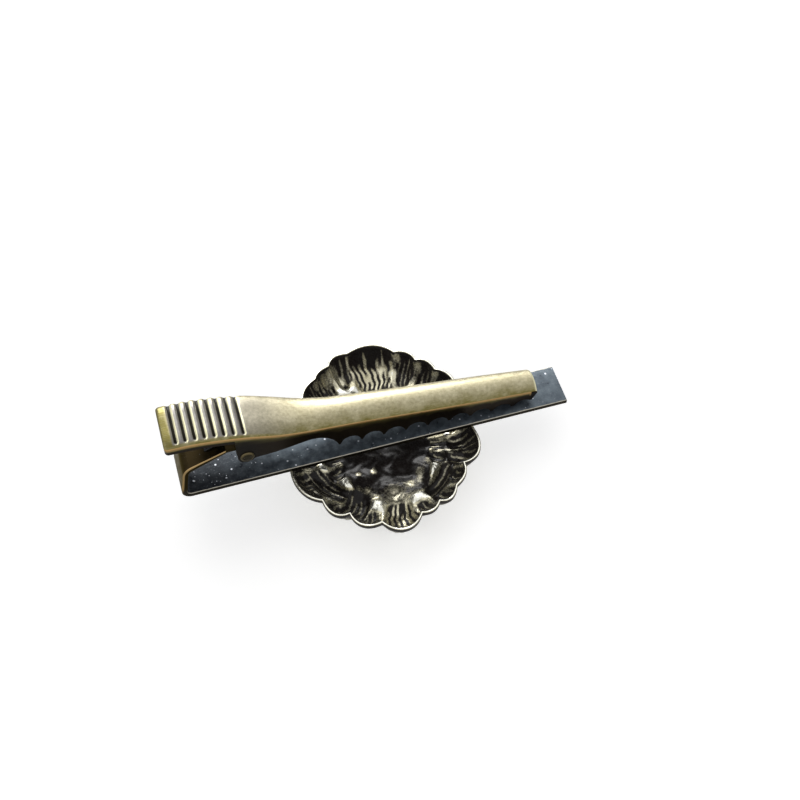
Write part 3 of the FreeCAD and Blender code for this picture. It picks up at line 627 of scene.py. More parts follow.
def grid_faces(rows, columns, first=0, wrapped=False, turned=False):
    """Four-sided faces of a grid of points, numbered row by row from first."""
    numbers = first + np.arange(rows * columns).reshape(rows, columns)
    if wrapped:
        numbers = np.column_stack([numbers, numbers[:, 0]])
    quads = np.stack([numbers[:-1, :-1], numbers[:-1, 1:], numbers[1:, 1:], numbers[1:, :-1]], axis=-1)
    quads = quads.reshape(-1, 4)
    return (quads[:, ::-1] if turned else quads).tolist()


def placed(name, mesh):
    """Object in the scene with its mesh shaded smooth between sharp edges."""
    mesh.shade_smooth()
    mesh.set_sharp_from_angle(angle=SHARP_ANGLE)
    piece = bpy.data.objects.new(name, mesh)
    bpy.context.scene.collection.objects.link(piece)
    print(name, len(mesh.vertices), "points", len(mesh.polygons), "faces")
    return piece


def paint_points(mesh, label, values):
    """Stores a value on each point of a mesh."""
    attribute = mesh.attributes.new(label, "FLOAT", "POINT")
    attribute.data.foreach_set("value", np.asarray(values, np.float32))


def mesh_piece(name, points, faces, finish, paint=None):
    """Object with a smooth mesh: points in millimetres, painted values by name."""
    mesh = bpy.data.meshes.new(name)
    mesh.from_pydata((np.asarray(points) * MM).tolist(), [], faces)
    mesh.validate()
    for label, values in (paint or {}).items():
        paint_points(mesh, label, values)
    mesh.materials.append(finishes[finish])
    return placed(name, mesh)


def dress(piece, body, node):
    """The piece rides on a body and stands for a solid piece, which is hidden."""
    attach(piece, body)
    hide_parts(node)


# %% [markdown]
# ## Bent strips
#
# The bar and the spring are both one strip of sheet metal, bent along a line. A node tree does exactly that:
# it rounds the corners of a line and sweeps a rounded rectangle along it. Width, thickness and edge radius
# are inputs, and each corner of the line carries its own bend radius, so the two pieces share the tree. The
# tree also stores how deep in the sheet each point lies, for the finish of the edges.

# %% A node tree that sweeps a strip along a bent line
BEND_STEPS = 12
EDGE_STEPS = 3


def blank_tree(name, inputs, output):
    """A new node tree with its named inputs, its output, and the node that gives the inputs."""
    tree = bpy.data.node_groups.new(name, "GeometryNodeTree")
    for label, kind in inputs:
        tree.interface.new_socket(label, in_out="INPUT", socket_type="NodeSocket" + kind)
    tree.interface.new_socket(output, in_out="OUTPUT", socket_type="NodeSocketGeometry")
    return tree, add(tree, "NodeGroupInput").outputs


def line_and_radius(tree, given):
    """The given line as a curve, and the radius that its points carry."""
    line = add(tree, "GeometryNodeMeshToCurve", {"Mesh": given["Line"]}).outputs[0]
    radius = add(tree, "GeometryNodeInputNamedAttribute", {"Name": "turning_radius"}, data_type="FLOAT")
    return line, radius.outputs[0]


def end_tree(tree, given, shape, output):
    """Ends a tree: the shape is made real and takes its finish."""
    whole = add(tree, "GeometryNodeRealizeInstances", {0: shape}).outputs[0]
    done = add(tree, "GeometryNodeSetMaterial", {"Geometry": whole, "Material": given["Finish"]}).outputs[0]
    add(tree, "NodeGroupOutput", {output: done})


def strip_tree():
    """A tree that sweeps a strip of sheet along a bent line."""
    sizes = [(label, "Float") for label in ("Width", "Thickness", "Edge Radius")]
    tree, given = blank_tree("bent_strip", [("Line", "Geometry"), *sizes, ("Finish", "Material")], "Strip")
    line, bend = line_and_radius(tree, given)
    bends = {"Curve": line, "Radius": bend, "Limit Radius": True, "Count": BEND_STEPS}
    line = add(tree, "GeometryNodeFilletCurve", bends, mode="POLY").outputs[0]
    section = {"Width": given["Width"], "Height": given["Thickness"]}
    outline = add(tree, "GeometryNodeCurvePrimitiveQuadrilateral", section, mode="RECTANGLE").outputs[0]
    corners = {"Curve": outline, "Radius": given["Edge Radius"], "Limit Radius": True, "Count": EDGE_STEPS}
    outline = add(tree, "GeometryNodeFilletCurve", corners, mode="POLY").outputs[0]
    place = add(tree, "GeometryNodeInputPosition").outputs[0]
    depth = add(tree, "ShaderNodeSeparateXYZ", {0: place}).outputs["Y"]
    note = {"Geometry": outline, "Name": "strip_depth", "Value": depth}
    outline = add(tree, "GeometryNodeStoreNamedAttribute", note, data_type="FLOAT", domain="POINT").outputs[0]
    sweep = {"Curve": line, "Profile Curve": outline, "Fill Caps": True}
    end_tree(tree, given, add(tree, "GeometryNodeCurveToMesh", sweep).outputs[0], "Strip")
    return tree


strips = strip_tree()
print("strip tree with", len(strips.nodes), "nodes")

# %% [markdown]
# A tree works on an object that carries it as a modifier. The helper makes a line of points, paints the
# radii on them, sets the tree's inputs, and keeps only the finished mesh. A strip is swept along its middle,
# so a second helper moves a line that follows one face of the sheet by half the thickness.


# %% Run a node tree on a line of points
def swept(name, line, radii, tree, **inputs):
    """Plain mesh object from a node tree that is given a line of points and their radii in millimetres."""
    mesh = bpy.data.meshes.new(name + "_line")
    steps = [(i, i + 1) for i in range(len(line) - 1)]
    mesh.from_pydata([tuple(np.array(point) * MM) for point in line], steps, [])
    paint_points(mesh, "turning_radius", [radius * MM for radius in radii])
    source = bpy.data.objects.new(name + "_line", mesh)
    bpy.context.scene.collection.objects.link(source)
    modifier = source.modifiers.new("build", "NODES")
    modifier.node_group = tree
    for item in tree.interface.items_tree:
        label = item.name.replace(" ", "_").lower()
        if item.in_out == "INPUT" and label in inputs:
            modifier[item.identifier] = inputs[label]
    built = source.evaluated_get(bpy.context.evaluated_depsgraph_get())
    result = bpy.data.meshes.new_from_object(built)
    result.name = name
    bpy.data.objects.remove(source)
    return placed(name, result)


def moved_line(line, distance):
    """A line of points in the XZ plane moved to its right by a distance."""
    line = np.array(line, float)
    heading = np.diff(line, axis=0)
    heading /= np.linalg.norm(heading, axis=1)[:, None]
    before = np.vstack([heading[:1], heading])
    after = np.vstack([heading, heading[-1:]])
    normal = np.column_stack([before[:, 1], -before[:, 0]])
    turned = np.column_stack([after[:, 1], -after[:, 0]])
    middle = normal + turned
    middle /= (1 + (normal * turned).sum(axis=1))[:, None]
    return line + middle * distance


# %% [markdown]
# ## The bar
#
# One strip makes the flat bar, the end wall that leans in by 10 degrees, the tongue that rises under the
# thumb grip and the short bridge over the rivet. The line of its outer face has five points, two ends and
# three bends, and the bend between wall and tongue is the widest.

# %% Bend the bar
BAR_THICKNESS = 0.8
END_WALL_LEAN = math.radians(10)
END_WALL_HEIGHT = 6.75
TONGUE_RISE = math.radians(22)
BRIDGE_LENGTH = 4.6
BEND_RADIUS = 0.6
TONGUE_BEND_RADIUS = 1.5
EDGE_RADIUS = 0.14

bar_top = bar_high[2]
wall_top = np.array([bar_low[0] + END_WALL_HEIGHT * math.tan(END_WALL_LEAN), bar_low[2] + END_WALL_HEIGHT])
bridge_x = wall_top[0] + (bar_top - wall_top[1]) / math.tan(TONGUE_RISE)
bar_corners = [(bar_high[0], bar_low[2]), (bar_low[0], bar_low[2]), tuple(wall_top), (bridge_x, bar_top),
               (bridge_x + BRIDGE_LENGTH, bar_top)]
bar_bends = [0, BEND_RADIUS, TONGUE_BEND_RADIUS, BEND_RADIUS, 0]
bar_line = [(x, 0, z) for x, z in moved_line(bar_corners, BAR_THICKNESS / 2)]
bar = swept("bar", bar_line, [radius + BAR_THICKNESS / 2 for radius in bar_bends], strips,
            width=(bar_high[1] - bar_low[1]) * MM, thickness=BAR_THICKNESS * MM, edge_radius=EDGE_RADIUS * MM,
            finish=finishes["dark_plate"])

# %% [markdown]
# The bridge lies between the lever's walls, so it is narrower than the bar. The swept strip has one width,
# and its points past the tongue are simply moved in.

# %% Narrow the bridge
EAR_OUTER = 2.968
BRIDGE_MARGIN = 0.05

for point in bar.data.vertices:
    if point.co.x > (bridge_x - BRIDGE_MARGIN) * MM and point.co.z > hinge[2] * MM:
        point.co.y = min(max(point.co.y, -EAR_OUTER * MM), EAR_OUTER * MM)
print("bridge is", 2 * EAR_OUTER, "mm wide")

# %% [markdown]
# Two ears hang from the bridge and carry the rivet. Each is a plate with a rounded lower end and a bore. Four
# rings of points round the bore, two on each face, give the whole plate with its hole, so nothing is cut.

# %% Ears under the bridge
EAR_RADIUS = 1.35
EAR_THICKNESS = 0.7
EAR_BORE = 0.85
EAR_SECTORS = 64
EAR_RINGS = 4
TINY = 1e-6


def ear_points(side):
    """Four rings of points round the bore: outline and bore, on the ear's two faces."""
    angle = np.linspace(0, 2 * math.pi, EAR_SECTORS, endpoint=False)
    across, up = np.cos(angle), np.sin(angle)
    top = bar_top - BAR_THICKNESS / 2 - hinge[2]
    reach = np.minimum(EAR_RADIUS / np.maximum(abs(across), TINY), top / np.maximum(up, TINY))
    outline = np.where(up < 0, EAR_RADIUS, reach)
    front, rear = EAR_OUTER * side, (EAR_OUTER - EAR_THICKNESS) * side
    rings = []
    for radius, y in ((outline, front), (EAR_BORE, front), (EAR_BORE, rear), (outline, rear)):
        x, z = hinge[0] + radius * across, hinge[2] + radius * up
        rings.append(np.column_stack([x, np.full(EAR_SECTORS, y), z]))
    return np.concatenate(rings)


def ear_faces(side):
    """Faces between the rings, and from the last ring back to the first."""
    last = EAR_SECTORS * (EAR_RINGS - 1)
    faces = grid_faces(EAR_RINGS, EAR_SECTORS, wrapped=True)
    for i in range(EAR_SECTORS):
        following = (i + 1) % EAR_SECTORS
        faces.append([last + i, last + following, following, i])
    return faces if side > 0 else [face[::-1] for face in faces]


ears = [mesh_piece("bar_ear", ear_points(side), ear_faces(side), "dark_plate") for side in (1, -1)]
with bpy.context.temp_override(active_object=bar, selected_editable_objects=[bar] + ears):
    bpy.ops.object.join()
dress(bar, "bar", "front_bar")

# %% [markdown]
# ## The lever
#
# The lever is stamped from thin sheet: flat and wide under the thumb, pinched at the drop, then a narrow
# domed jaw. Its cross-section is the same everywhere, two upright walls under a crowned top, and only its
# width, height and crown change along the length. So it is a grid: one row of points for each place along X,
# with a smooth curve through a few stations. Each station has its shares of the height, width and crown.

# %% How the lever changes along its length
LEVER_STATION_SHARES = np.array([
    (1.000, 0.970, 0.00), (0.989, 1.000, 0.00), (0.928, 0.995, 0.00), (0.825, 0.955, 0.10),
    (0.679, 0.830, 0.40), (0.546, 0.560, 0.75), (0.457, 0.370, 0.95), (0.399, 0.300, 1.00),
    (0.341, 0.265, 1.00), (0.281, 0.235, 1.00), (0.224, 0.205, 1.00), (0.169, 0.170, 1.00),
    (0.113, 0.130, 0.98), (0.057, 0.070, 0.95), (0.000, 0.000, 0.90)])
TIP_WIDTH = 4.2
TIP_HEIGHT = 2.48
GRIP_CROWN = 0.75
JAW_CROWN = 1.25
GRIP_SQUARENESS = 5.0
JAW_SQUARENESS = 2.1

grip_width = lever_high[1] - lever_low[1]
grip_edge = lever_high[2] - GRIP_CROWN
stations = np.linspace(lever_low[0], lever_high[0], len(LEVER_STATION_SHARES))


def along_lever(x, values):
    """Smooth curve through one value for each station, read at the places x."""
    slope = np.gradient(values, stations)
    cell = np.clip(np.searchsorted(stations, x) - 1, 0, len(stations) - 2)
    step = stations[cell + 1] - stations[cell]
    t = (x - stations[cell]) / step
    return ((2 * t ** 3 - 3 * t ** 2 + 1) * values[cell] + (t ** 3 - 2 * t ** 2 + t) * step * slope[cell]
            + (3 * t ** 2 - 2 * t ** 3) * values[cell + 1] + (t ** 3 - t ** 2) * step * slope[cell + 1])


def lever_rows(x):
    """Height of the bent edge, half width, crown and squareness of the top at the places x."""
    height, width, crown = (along_lever(x, LEVER_STATION_SHARES[:, i]) for i in range(3))
    edge = TIP_HEIGHT + (grip_edge - TIP_HEIGHT) * height
    half = (TIP_WIDTH + (grip_width - TIP_WIDTH) * np.minimum(width, 1)) / 2
    rise = GRIP_CROWN + (JAW_CROWN - GRIP_CROWN) * crown
    square = GRIP_SQUARENESS + (JAW_SQUARENESS - GRIP_SQUARENESS) * np.sqrt(np.clip(crown, 0, 1))
    return edge, half, rise, square


print("lever has", len(stations), "stations")

# %% [markdown]
# The walls end in different ways along the lever: a short flange under the thumb, a round ear at the rivet,
# an arch over the throat, then teeth. The teeth are what is left between round gaps, and these sit lower and
# lower towards the tip. At the tip the wall is cut back, so that cloth slides in.

# %% The lower edge of the lever's walls
FLANGE = 1.0
EAR_LOBE = 1.30
WALL_DROP = 0.76
THROAT_LENGTH = 8.65
THROAT_RADIUS = 4.67
TOOTH_START = 2.75
TOOTH_PITCH = 3.3
TOOTH_GAP = 1.5
TOOTH_GAP_LOWERING_SHARE = 0.35
JAW_GAP = 0.1
TIP_CUT = 1.0
TIP_WALL = 0.14

throat_x = hinge[0] + THROAT_LENGTH


def circle_height(off, radius):
    """Height of a circle above its middle, at distances from its middle."""
    return np.sqrt(np.maximum(radius ** 2 - off ** 2, 0))


def tooth_line(x):
    """Height of the straight line that the teeth end on, and the share of the way to the tip."""
    share = np.clip((x - throat_x) / (lever_high[0] - throat_x), 0, 1)
    return TOOTH_START + (JAW_GAP - TOOTH_START) * share, share


def lower_edge(x, edge):
    """Height of the walls' lower edge: flange, ears round the rivet, throat, then round-gapped teeth."""
    wall = hinge[2] - WALL_DROP
    low = np.where(x < throat_x, wall, tooth_line(x)[0])
    arch = wall - THROAT_RADIUS + circle_height(x - throat_x, THROAT_RADIUS)
    low = np.where((x >= throat_x) & (x <= throat_x + THROAT_RADIUS), np.maximum(low, arch), low)
    first_gap = throat_x + THROAT_RADIUS + TOOTH_PITCH / 2
    for gap_x in np.arange(first_gap, lever_high[0] - TOOTH_PITCH / 2, TOOTH_PITCH):
        line, share = tooth_line(gap_x)
        middle = line - TOOTH_GAP * TOOTH_GAP_LOWERING_SHARE * share
        arc = middle + circle_height(x - gap_x, TOOTH_GAP)
        low = np.where(abs(x - gap_x) < TOOTH_GAP, np.maximum(low, arc), low)
    lobe = hinge[2] - circle_height(x - hinge[0], EAR_LOBE)
    ear = np.minimum(np.where(x < hinge[0], hinge[2], low), lobe)
    low = np.where(abs(x - hinge[0]) <= EAR_LOBE, ear, low)
    low = np.where(x < hinge[0] - EAR_LOBE, edge - FLANGE, low)
    cut_back = np.clip((x - lever_high[0] + TIP_CUT) / TIP_CUT, 0, 1)
    return low + (edge - TIP_WALL - low) * cut_back


# %% [markdown]
# The thumb grip has eight pressed grooves. A groove is simply a dip in the height of the top, a smooth bell
# across its width. Its near end is round, and its far end runs out over the edge. The same function says
# where a groove is painted dark as shade on one wall, which of its flanks gets a painted highlight, and how
# far the grey of the ridges reaches.

# %% Grooves of the thumb grip
GROOVE_START = 1.75
GROOVE_PITCH = 1.29
GROOVE_COUNT = 8
GROOVE_HALF = 0.56
GROOVE_DEPTH = 0.32
GROOVE_ENDS = (-3.40, 6.0)
SHADE_DEPTHS = (0.45, 0.75)
SHADE_SIDE = (-0.24, -0.12)
GLINT_DEPTHS = (0.02, 0.12)
GLINT_SIDE = (0.10, 0.22)
GREY_START = (-0.6, -0.3)
GREY_SHARE = 0.55
GREY_FADE = 9.0
GREY_NEAR_FADE = 0.35
GREY_FAR_FADE = (2.2, 3.7)

groove_places = lever_low[0] + GROOVE_START + GROOVE_PITCH * np.arange(GROOVE_COUNT)


def smooth_step(value, low, high):
    """Share from 0 to 1 of the way from low to high, with soft ends."""
    share = np.clip((value - low) / (high - low), 0, 1)
    return share * share * (3 - 2 * share)


def groove_zones(x, y):
    """Depth share of the grooves, where painted shade darkens one wall, where a painted highlight brightens
    the other, and where ridges are left grey.
    """
    past = np.maximum(y - (GROOVE_ENDS[1] - GROOVE_HALF), 0) + np.maximum(GROOVE_ENDS[0] + GROOVE_HALF - y, 0)
    beside = x - groove_places[np.abs(x[..., None] - groove_places).argmin(axis=-1)]
    depth = 0.5 + 0.5 * np.cos(math.pi * np.clip(np.hypot(beside, past) / GROOVE_HALF, 0, 1))
    shade = smooth_step(depth, *SHADE_DEPTHS) * smooth_step(-beside, *SHADE_SIDE)
    glint = smooth_step(depth, *GLINT_DEPTHS) * smooth_step(beside, *GLINT_SIDE)
    last = groove_places[-1] + GROOVE_HALF
    ridge = np.where(x < last, smooth_step(x - groove_places[0], *GREY_START),
                     GREY_SHARE * (1 - smooth_step(x, last, last + GREY_FADE)))
    # the grey gives way towards the far edge, where the painted highlight of the far side shows
    ridge = ridge * smooth_step(y - GROOVE_ENDS[0], 0, GREY_NEAR_FADE) * (1 - smooth_step(y, *GREY_FAR_FADE))
    return depth, shade, glint, ridge


print("grooves at", groove_places.round(2))

# %% [markdown]
# One shell is the lever's outer or inner skin. Every row runs from the near wall's lower edge up the wall,
# round the bent edge, over the top and down the far wall. The bent edge is a short curve of its own, so that
# light catches it as a line, and both ends of the lever are rounded down.

# %% One shell of the lever
CREASE_RADIUS = 0.32
CREASE_WALL_SHARE = 0.4
CREASE_POINTS = 6
TOP_POINTS = 41
WALL_POINTS = 10
END_ROUNDING = 0.55
TIP_ROUNDING = 0.30
BEND_START = 4

top_across = np.sin(np.linspace(-math.pi / 2, math.pi / 2, TOP_POINTS))


def rounded_drop(from_end, radius):
    """How far a quarter-round end has dropped at a distance from that end."""
    share = np.clip(from_end / radius, 0, 1)
    return radius * (1 - np.sqrt(1 - (1 - share) ** 2))


def lever_side(y, z, low, far):
    """Points of one side, from the bent edge down its wall to the lower edge."""
    last, onto = (-1, -BEND_START) if far else (0, BEND_START - 1)
    corner = np.stack([y[:, last], z[:, last]], -1)
    onto_top = np.stack([y[:, onto], z[:, onto]], -1)
    radius = np.minimum(CREASE_RADIUS, (corner[:, 1] - low) * CREASE_WALL_SHARE)
    below = corner - np.stack([0 * radius, radius], -1)
    t = np.linspace(0, 1, CREASE_POINTS)[None, :, None]
    bend = (1 - t) ** 2 * onto_top[:, None] + 2 * t * (1 - t) * corner[:, None] + t ** 2 * below[:, None]
    share = np.linspace(0, 1, WALL_POINTS + 1)[1:]
    wall_z = below[:, 1:] + (low[:, None] - below[:, 1:]) * share
    wall = np.stack([np.repeat(below[:, :1], WALL_POINTS, 1), wall_z], -1)
    return np.concatenate([bend, wall], axis=1)


def lever_shell(x, inset, dip):
    """Rows of points from the near wall's lower edge over the top to the far wall's."""
    edge, half, rise, square = lever_rows(x)
    rounding = rounded_drop(x - lever_low[0], END_ROUNDING)
    tip_drop = rounded_drop(lever_high[0] - x, TIP_ROUNDING)
    low = lower_edge(x, edge) - tip_drop
    y = (half - inset - rounding)[:, None] * top_across
    z = edge[:, None] + (rise - inset - rounding)[:, None] * (1 - abs(top_across) ** square[:, None])
    z = z - tip_drop[:, None] - dip * groove_zones(x[:, None] + 0 * y, y)[0]
    top = np.stack([y, z], -1)[:, BEND_START:-BEND_START]
    near, far = lever_side(y, z, low, False), lever_side(y, z, low, True)
    rows = np.concatenate([near[:, ::-1], top, far], axis=1)
    return np.concatenate([np.repeat(x[:, None, None], rows.shape[1], 1), rows], axis=-1)


# %% [markdown]
# The finish needs to know where a point of the lever lies, so the same rows get painted values: how far the
# brushing reached, with a painted highlight along the far side, where the bent edge is worn, where the walls
# stay dark, and the zones of the grooves with their painted shade and painted highlights. Two places get
# painted shade as well: the walls round the rivet are painted blacker, and at the jaw's tip the near wall
# ends in a worn line with painted shade beyond it. The tip's rounded end gets a painted highlight.

# %% Zones of the lever
SHEEN_SHIFT = 0.22
CROWN_FADE = 0.9
WORN_BEND_START = 0.25
WORN_BEND_POWER = 0.4
FAR_CREASE_SHARE = 0.2
WALL_TOP_SHARE = 0.6
WALL_END_SHARE = 2.4
TIP_GLINT = (-0.35, -0.15)
EAR_SHADE = 0.85
EAR_SHADE_REACH = 2.2
SHADED_WALL = 0.5
TIP_SHADE = (-1.05, -0.9)
TIP_LINE = 1.1
TIP_LINE_HALF = 0.12
TIP_LINE_SHARE = 0.7
TIP_LINE_WALL = 0.95

no_wall, no_bend = np.zeros(WALL_POINTS), np.zeros(CREASE_POINTS)
no_top = np.zeros(TOP_POINTS - 2 * BEND_START)
on_top = np.concatenate([no_wall, no_bend, no_top + 1, no_bend, no_wall])


def zones_across():
    """Painted values of one row, for the zones that are the same all along the lever."""
    across = top_across[BEND_START:-BEND_START]
    # the crown is shifted to the far side as a painted highlight, and its far value runs over the far bent
    # edge
    crown = 1 - ((across - SHEEN_SHIFT) / (1 + SHEEN_SHIFT)) ** 2
    bent = np.sin(np.linspace(WORN_BEND_START, 1, CREASE_POINTS) * math.pi)
    bent = np.maximum(bent, 0) ** WORN_BEND_POWER
    wall = np.minimum(np.linspace(WALL_TOP_SHARE, WALL_END_SHARE, WALL_POINTS), 1)
    return {
        "crown": np.concatenate([no_wall, no_bend, crown, np.full(CREASE_POINTS, crown[-1]), no_wall]),
        "crease": np.concatenate([no_wall, bent[::-1], no_top, FAR_CREASE_SHARE * bent, no_wall]),
        "wall": np.concatenate([wall[::-1], no_bend, no_top, no_bend, wall]),
    }


def lever_zones(x, rows):
    """Painted values from 0 to 1 on the outer shell's points, by the name that the finish reads."""
    zones = {label: np.repeat(line[None], len(x), 0) for label, line in zones_across().items()}
    # painted shade: the grip's end before the grooves keeps the olive of the sides
    zones["crown"] = zones["crown"] * smooth_step(x - groove_places[0], -CROWN_FADE, 0)[:, None]
    _, shade, glint, ridge = groove_zones(rows[..., 0], rows[..., 1])
    # painted highlight on the jaw's rounded tip
    glint = np.maximum(glint, smooth_step(rows[..., 0] - lever_high[0], *TIP_GLINT))
    zones.update(groove=shade * on_top, glint=glint * on_top, ridge=ridge * on_top)
    # painted shade on the walls round the rivet
    ear_shade = EAR_SHADE * np.exp(-((x - hinge[0]) / EAR_SHADE_REACH) ** 2)[:, None]
    zones["groove"] = np.maximum(zones["groove"], ear_shade * (zones["wall"] > SHADED_WALL))
    near_side = (rows[..., 1] < 0) * (1 - on_top)
    # painted shade on the near wall beyond the jaw's tip
    tip_shade = smooth_step(x - lever_high[0], *TIP_SHADE)[:, None]
    zones["groove"] = np.maximum(zones["groove"], tip_shade * near_side)
    tip_line = TIP_LINE_SHARE * np.exp(-((x - lever_high[0] + TIP_LINE) / TIP_LINE_HALF) ** 2)[:, None]
    zones["crease"] = np.maximum(zones["crease"], tip_line * near_side * (zones["wall"] < TIP_LINE_WALL))
    return zones


# %% [markdown]
# The rows lie close together where the shape changes fast: on the rounded ends and over the grooves. The
# ear's upright edge is a step, so two rows lie almost in one place there.

# %% Places of the rows along the lever
START_ROWS = 9
GRIP_STEP = 0.06
EAR_STEP = 0.005
JAW_STEP = 0.125
TIP_ROWS = 8
TIP_START = 0.1


def lever_places():
    """Places along X where the lever has a row of points."""
    ear_x = hinge[0] - EAR_LOBE
    start = lever_low[0] + END_ROUNDING * (1 - np.cos(np.linspace(0, math.pi / 2, START_ROWS)))
    grip = np.arange(lever_low[0] + END_ROUNDING + GRIP_STEP, ear_x - GRIP_STEP / 2, GRIP_STEP)
    jaw = np.arange(ear_x + GRIP_STEP, lever_high[0] - TIP_ROUNDING, JAW_STEP)
    tip = lever_high[0] - TIP_ROUNDING * (1 - np.sin(np.linspace(TIP_START, math.pi / 2, TIP_ROWS)))
    return np.concatenate([start, grip, [ear_x - EAR_STEP, ear_x + EAR_STEP], jaw, tip])


lever_x = lever_places()
print("lever has", len(lever_x), "rows")

# %% [markdown]
# The inner shell is the outer one moved in by the sheet's thickness, with shallower grooves. Strips of faces
# along the lower edges and round the tip join the two shells. At the grip's end one face closes each shell,
# and one more joins them along the bottom. The inside keeps its dark patina, so it counts as wall.

# %% Close the two shells into one lever
SHEET = 0.55
INNER_GROOVE_SHARE = 0.6

outer = lever_shell(lever_x, 0.0, GROOVE_DEPTH)
inner_x = np.maximum(lever_x, lever_low[0] + SHEET)
inner = lever_shell(inner_x, SHEET, GROOVE_DEPTH * INNER_GROOVE_SHARE)
rows, columns = outer.shape[:2]
count = rows * columns


def joining(numbers):
    """Faces between a line of points on the outer shell and the same line on the inner one."""
    return np.stack([numbers[:-1], numbers[1:], numbers[1:] + count, numbers[:-1] + count], -1)


points = np.concatenate([outer.reshape(-1, 3), inner.reshape(-1, 3)])
faces = grid_faces(rows, columns) + grid_faces(rows, columns, first=count, turned=True)
near_edge = np.arange(rows) * columns
faces += joining(near_edge).tolist()
faces += joining(near_edge + columns - 1)[:, ::-1].tolist()
faces += joining((rows - 1) * columns + np.arange(columns)).tolist()
faces += [list(range(columns)), list(range(count + columns - 1, count - 1, -1))]
faces += [[count, count + columns - 1, columns - 1, 0]]
paint = {}
for label, values in lever_zones(lever_x, outer).items():
    paint[label] = np.concatenate([values.ravel(), np.full(count, float(label == "wall"))])
lever = mesh_piece("lever", points, faces, "antique_brass", paint)
dress(lever, "lever", "clip_lever")

# %% [markdown]
# ## The rivet
#
# A rivet is a turned shape: its radius changes along its axis and nothing else. Curve to Mesh sweeps a circle
# along a line and scales it by a radius that the line's points carry, so a short list of radii along the axis
# is the whole piece. Both heads are the same: a flat seat, a rounded rim and a slightly dished middle. Each
# step of the profile has its depth below the end of the head and its radius.

# %% Turn the rivet
RIVET_SIDES = 48
RIVET_PROFILE = [
    (0.30, 0.80), (0.30, 1.00), (0.16, 1.00), (0.07, 0.93),
    (0.02, 0.78), (0.00, 0.55), (0.03, 0.25), (0.05, 0.05)]


def turned_tree():
    """A tree that turns a piece round a line."""
    inputs = [("Line", "Geometry"), ("Sides", "Int"), ("Finish", "Material")]
    tree, given = blank_tree("turned_piece", inputs, "Piece")
    line, width = line_and_radius(tree, given)
    line = add(tree, "GeometryNodeSetCurveRadius", {"Curve": line, "Radius": width}).outputs[0]
    circle = {"Resolution": given["Sides"], "Radius": 1.0}
    circle = add(tree, "GeometryNodeCurvePrimitiveCircle", circle, mode="RADIUS").outputs[0]
    sweep = {"Curve": line, "Profile Curve": circle, "Fill Caps": True, "Scale": width}
    end_tree(tree, given, add(tree, "GeometryNodeCurveToMesh", sweep).outputs[0], "Piece")
    return tree


rivet_end = node_box("hinge_pin")[1][1]
rivet_half = [(rivet_end - depth, radius) for depth, radius in RIVET_PROFILE]
rivet_steps = [(-y, radius) for y, radius in rivet_half[::-1]] + rivet_half
rivet_line = [(hinge[0], y, hinge[2]) for y, _ in rivet_steps]
rivet = swept("rivet", rivet_line, [radius for _, radius in rivet_steps], turned_tree(), sides=RIVET_SIDES,
              finish=finishes["rivet_brass"])
dress(rivet, "lever", "hinge_pin")

# %% [markdown]
# ## The leaf spring
#
# A flat steel spring is folded double between the tongue and the thumb grip and pushes the jaw shut. It uses
# the same strip tree as the bar. Its line is a list of straight runs, each with a length and a heading.

# %% Fold the spring
SPRING_THICKNESS = 0.3
SPRING_BEND_RADIUS = 0.3
SPRING_EDGE_RADIUS = 0.05
SPRING_FOOT = 3.0
SPRING_REACH = 0.5
SPRING_FOLD_HEIGHT = 1.35
SPRING_LEAF = 9.4
SPRING_ANGLE = math.radians(13)

spring_low, spring_high = node_box("leaf_spring")
spring_runs = [(SPRING_FOOT, TONGUE_RISE), (BRIDGE_LENGTH + SPRING_REACH, 0),
               (SPRING_FOLD_HEIGHT, math.pi / 2), (SPRING_LEAF, math.pi - SPRING_ANGLE)]
foot = np.array([math.cos(TONGUE_RISE), math.sin(TONGUE_RISE)]) * SPRING_FOOT
spring_line = [np.array([bridge_x, bar_top]) - foot]
for length, heading in spring_runs:
    spring_line.append(spring_line[-1] + length * np.array([math.cos(heading), math.sin(heading)]))
spring_line = moved_line(spring_line, -SPRING_THICKNESS / 2)
spring_bends = [SPRING_BEND_RADIUS + SPRING_THICKNESS / 2] * len(spring_line)
spring = swept("spring", [(x, 0, z) for x, z in spring_line], spring_bends, strips,
               width=(spring_high[1] - spring_low[1]) * MM, thickness=SPRING_THICKNESS * MM,
               edge_radius=SPRING_EDGE_RADIUS * MM, finish=finishes["spring_steel"])
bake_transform(spring)
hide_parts("leaf_spring")

# %% [markdown]
# ## The lion head
#
# The emblem is a thin casting: its front is a lion's face in a mane of locks, and its back follows the front
# at the thickness of the metal, so every lock is a hollow on the back and every gap between locks is a ridge.
# The front is worked out once as a map of depths on a fine square grid. The back is the same map, a little
# softened and moved in by the wall.
#
# The rim comes first. It swells out at each lock and dips between two locks, so each lock has an angle where
# it starts, the reach of the notch there, and the reach of its crest, as shares of the emblem's half size.

# %% Outline of the mane
MANE_LOCK_SHARES = np.array([
    (22, 0.955, 1.010), (41, 0.955, 0.985), (55, 0.935, 0.985), (70, 0.955, 1.020), (100, 0.975, 0.995),
    (115, 0.935, 0.945), (128, 0.915, 0.930), (144, 0.900, 0.950), (163, 0.920, 0.975), (185, 0.945, 1.010),
    (220, 0.915, 0.960), (239, 0.885, 0.960), (260, 0.910, 1.000), (286, 0.900, 0.930), (300, 0.895, 0.955),
    (315, 0.920, 0.940), (331, 0.890, 1.020), (356, 0.955, 1.000)])
EMBLEM_HALF = np.array([14.4, 16.4])
EMBLEM_PLACE = np.array([1.05, -0.6])
EMBLEM_TILT = math.radians(-6)


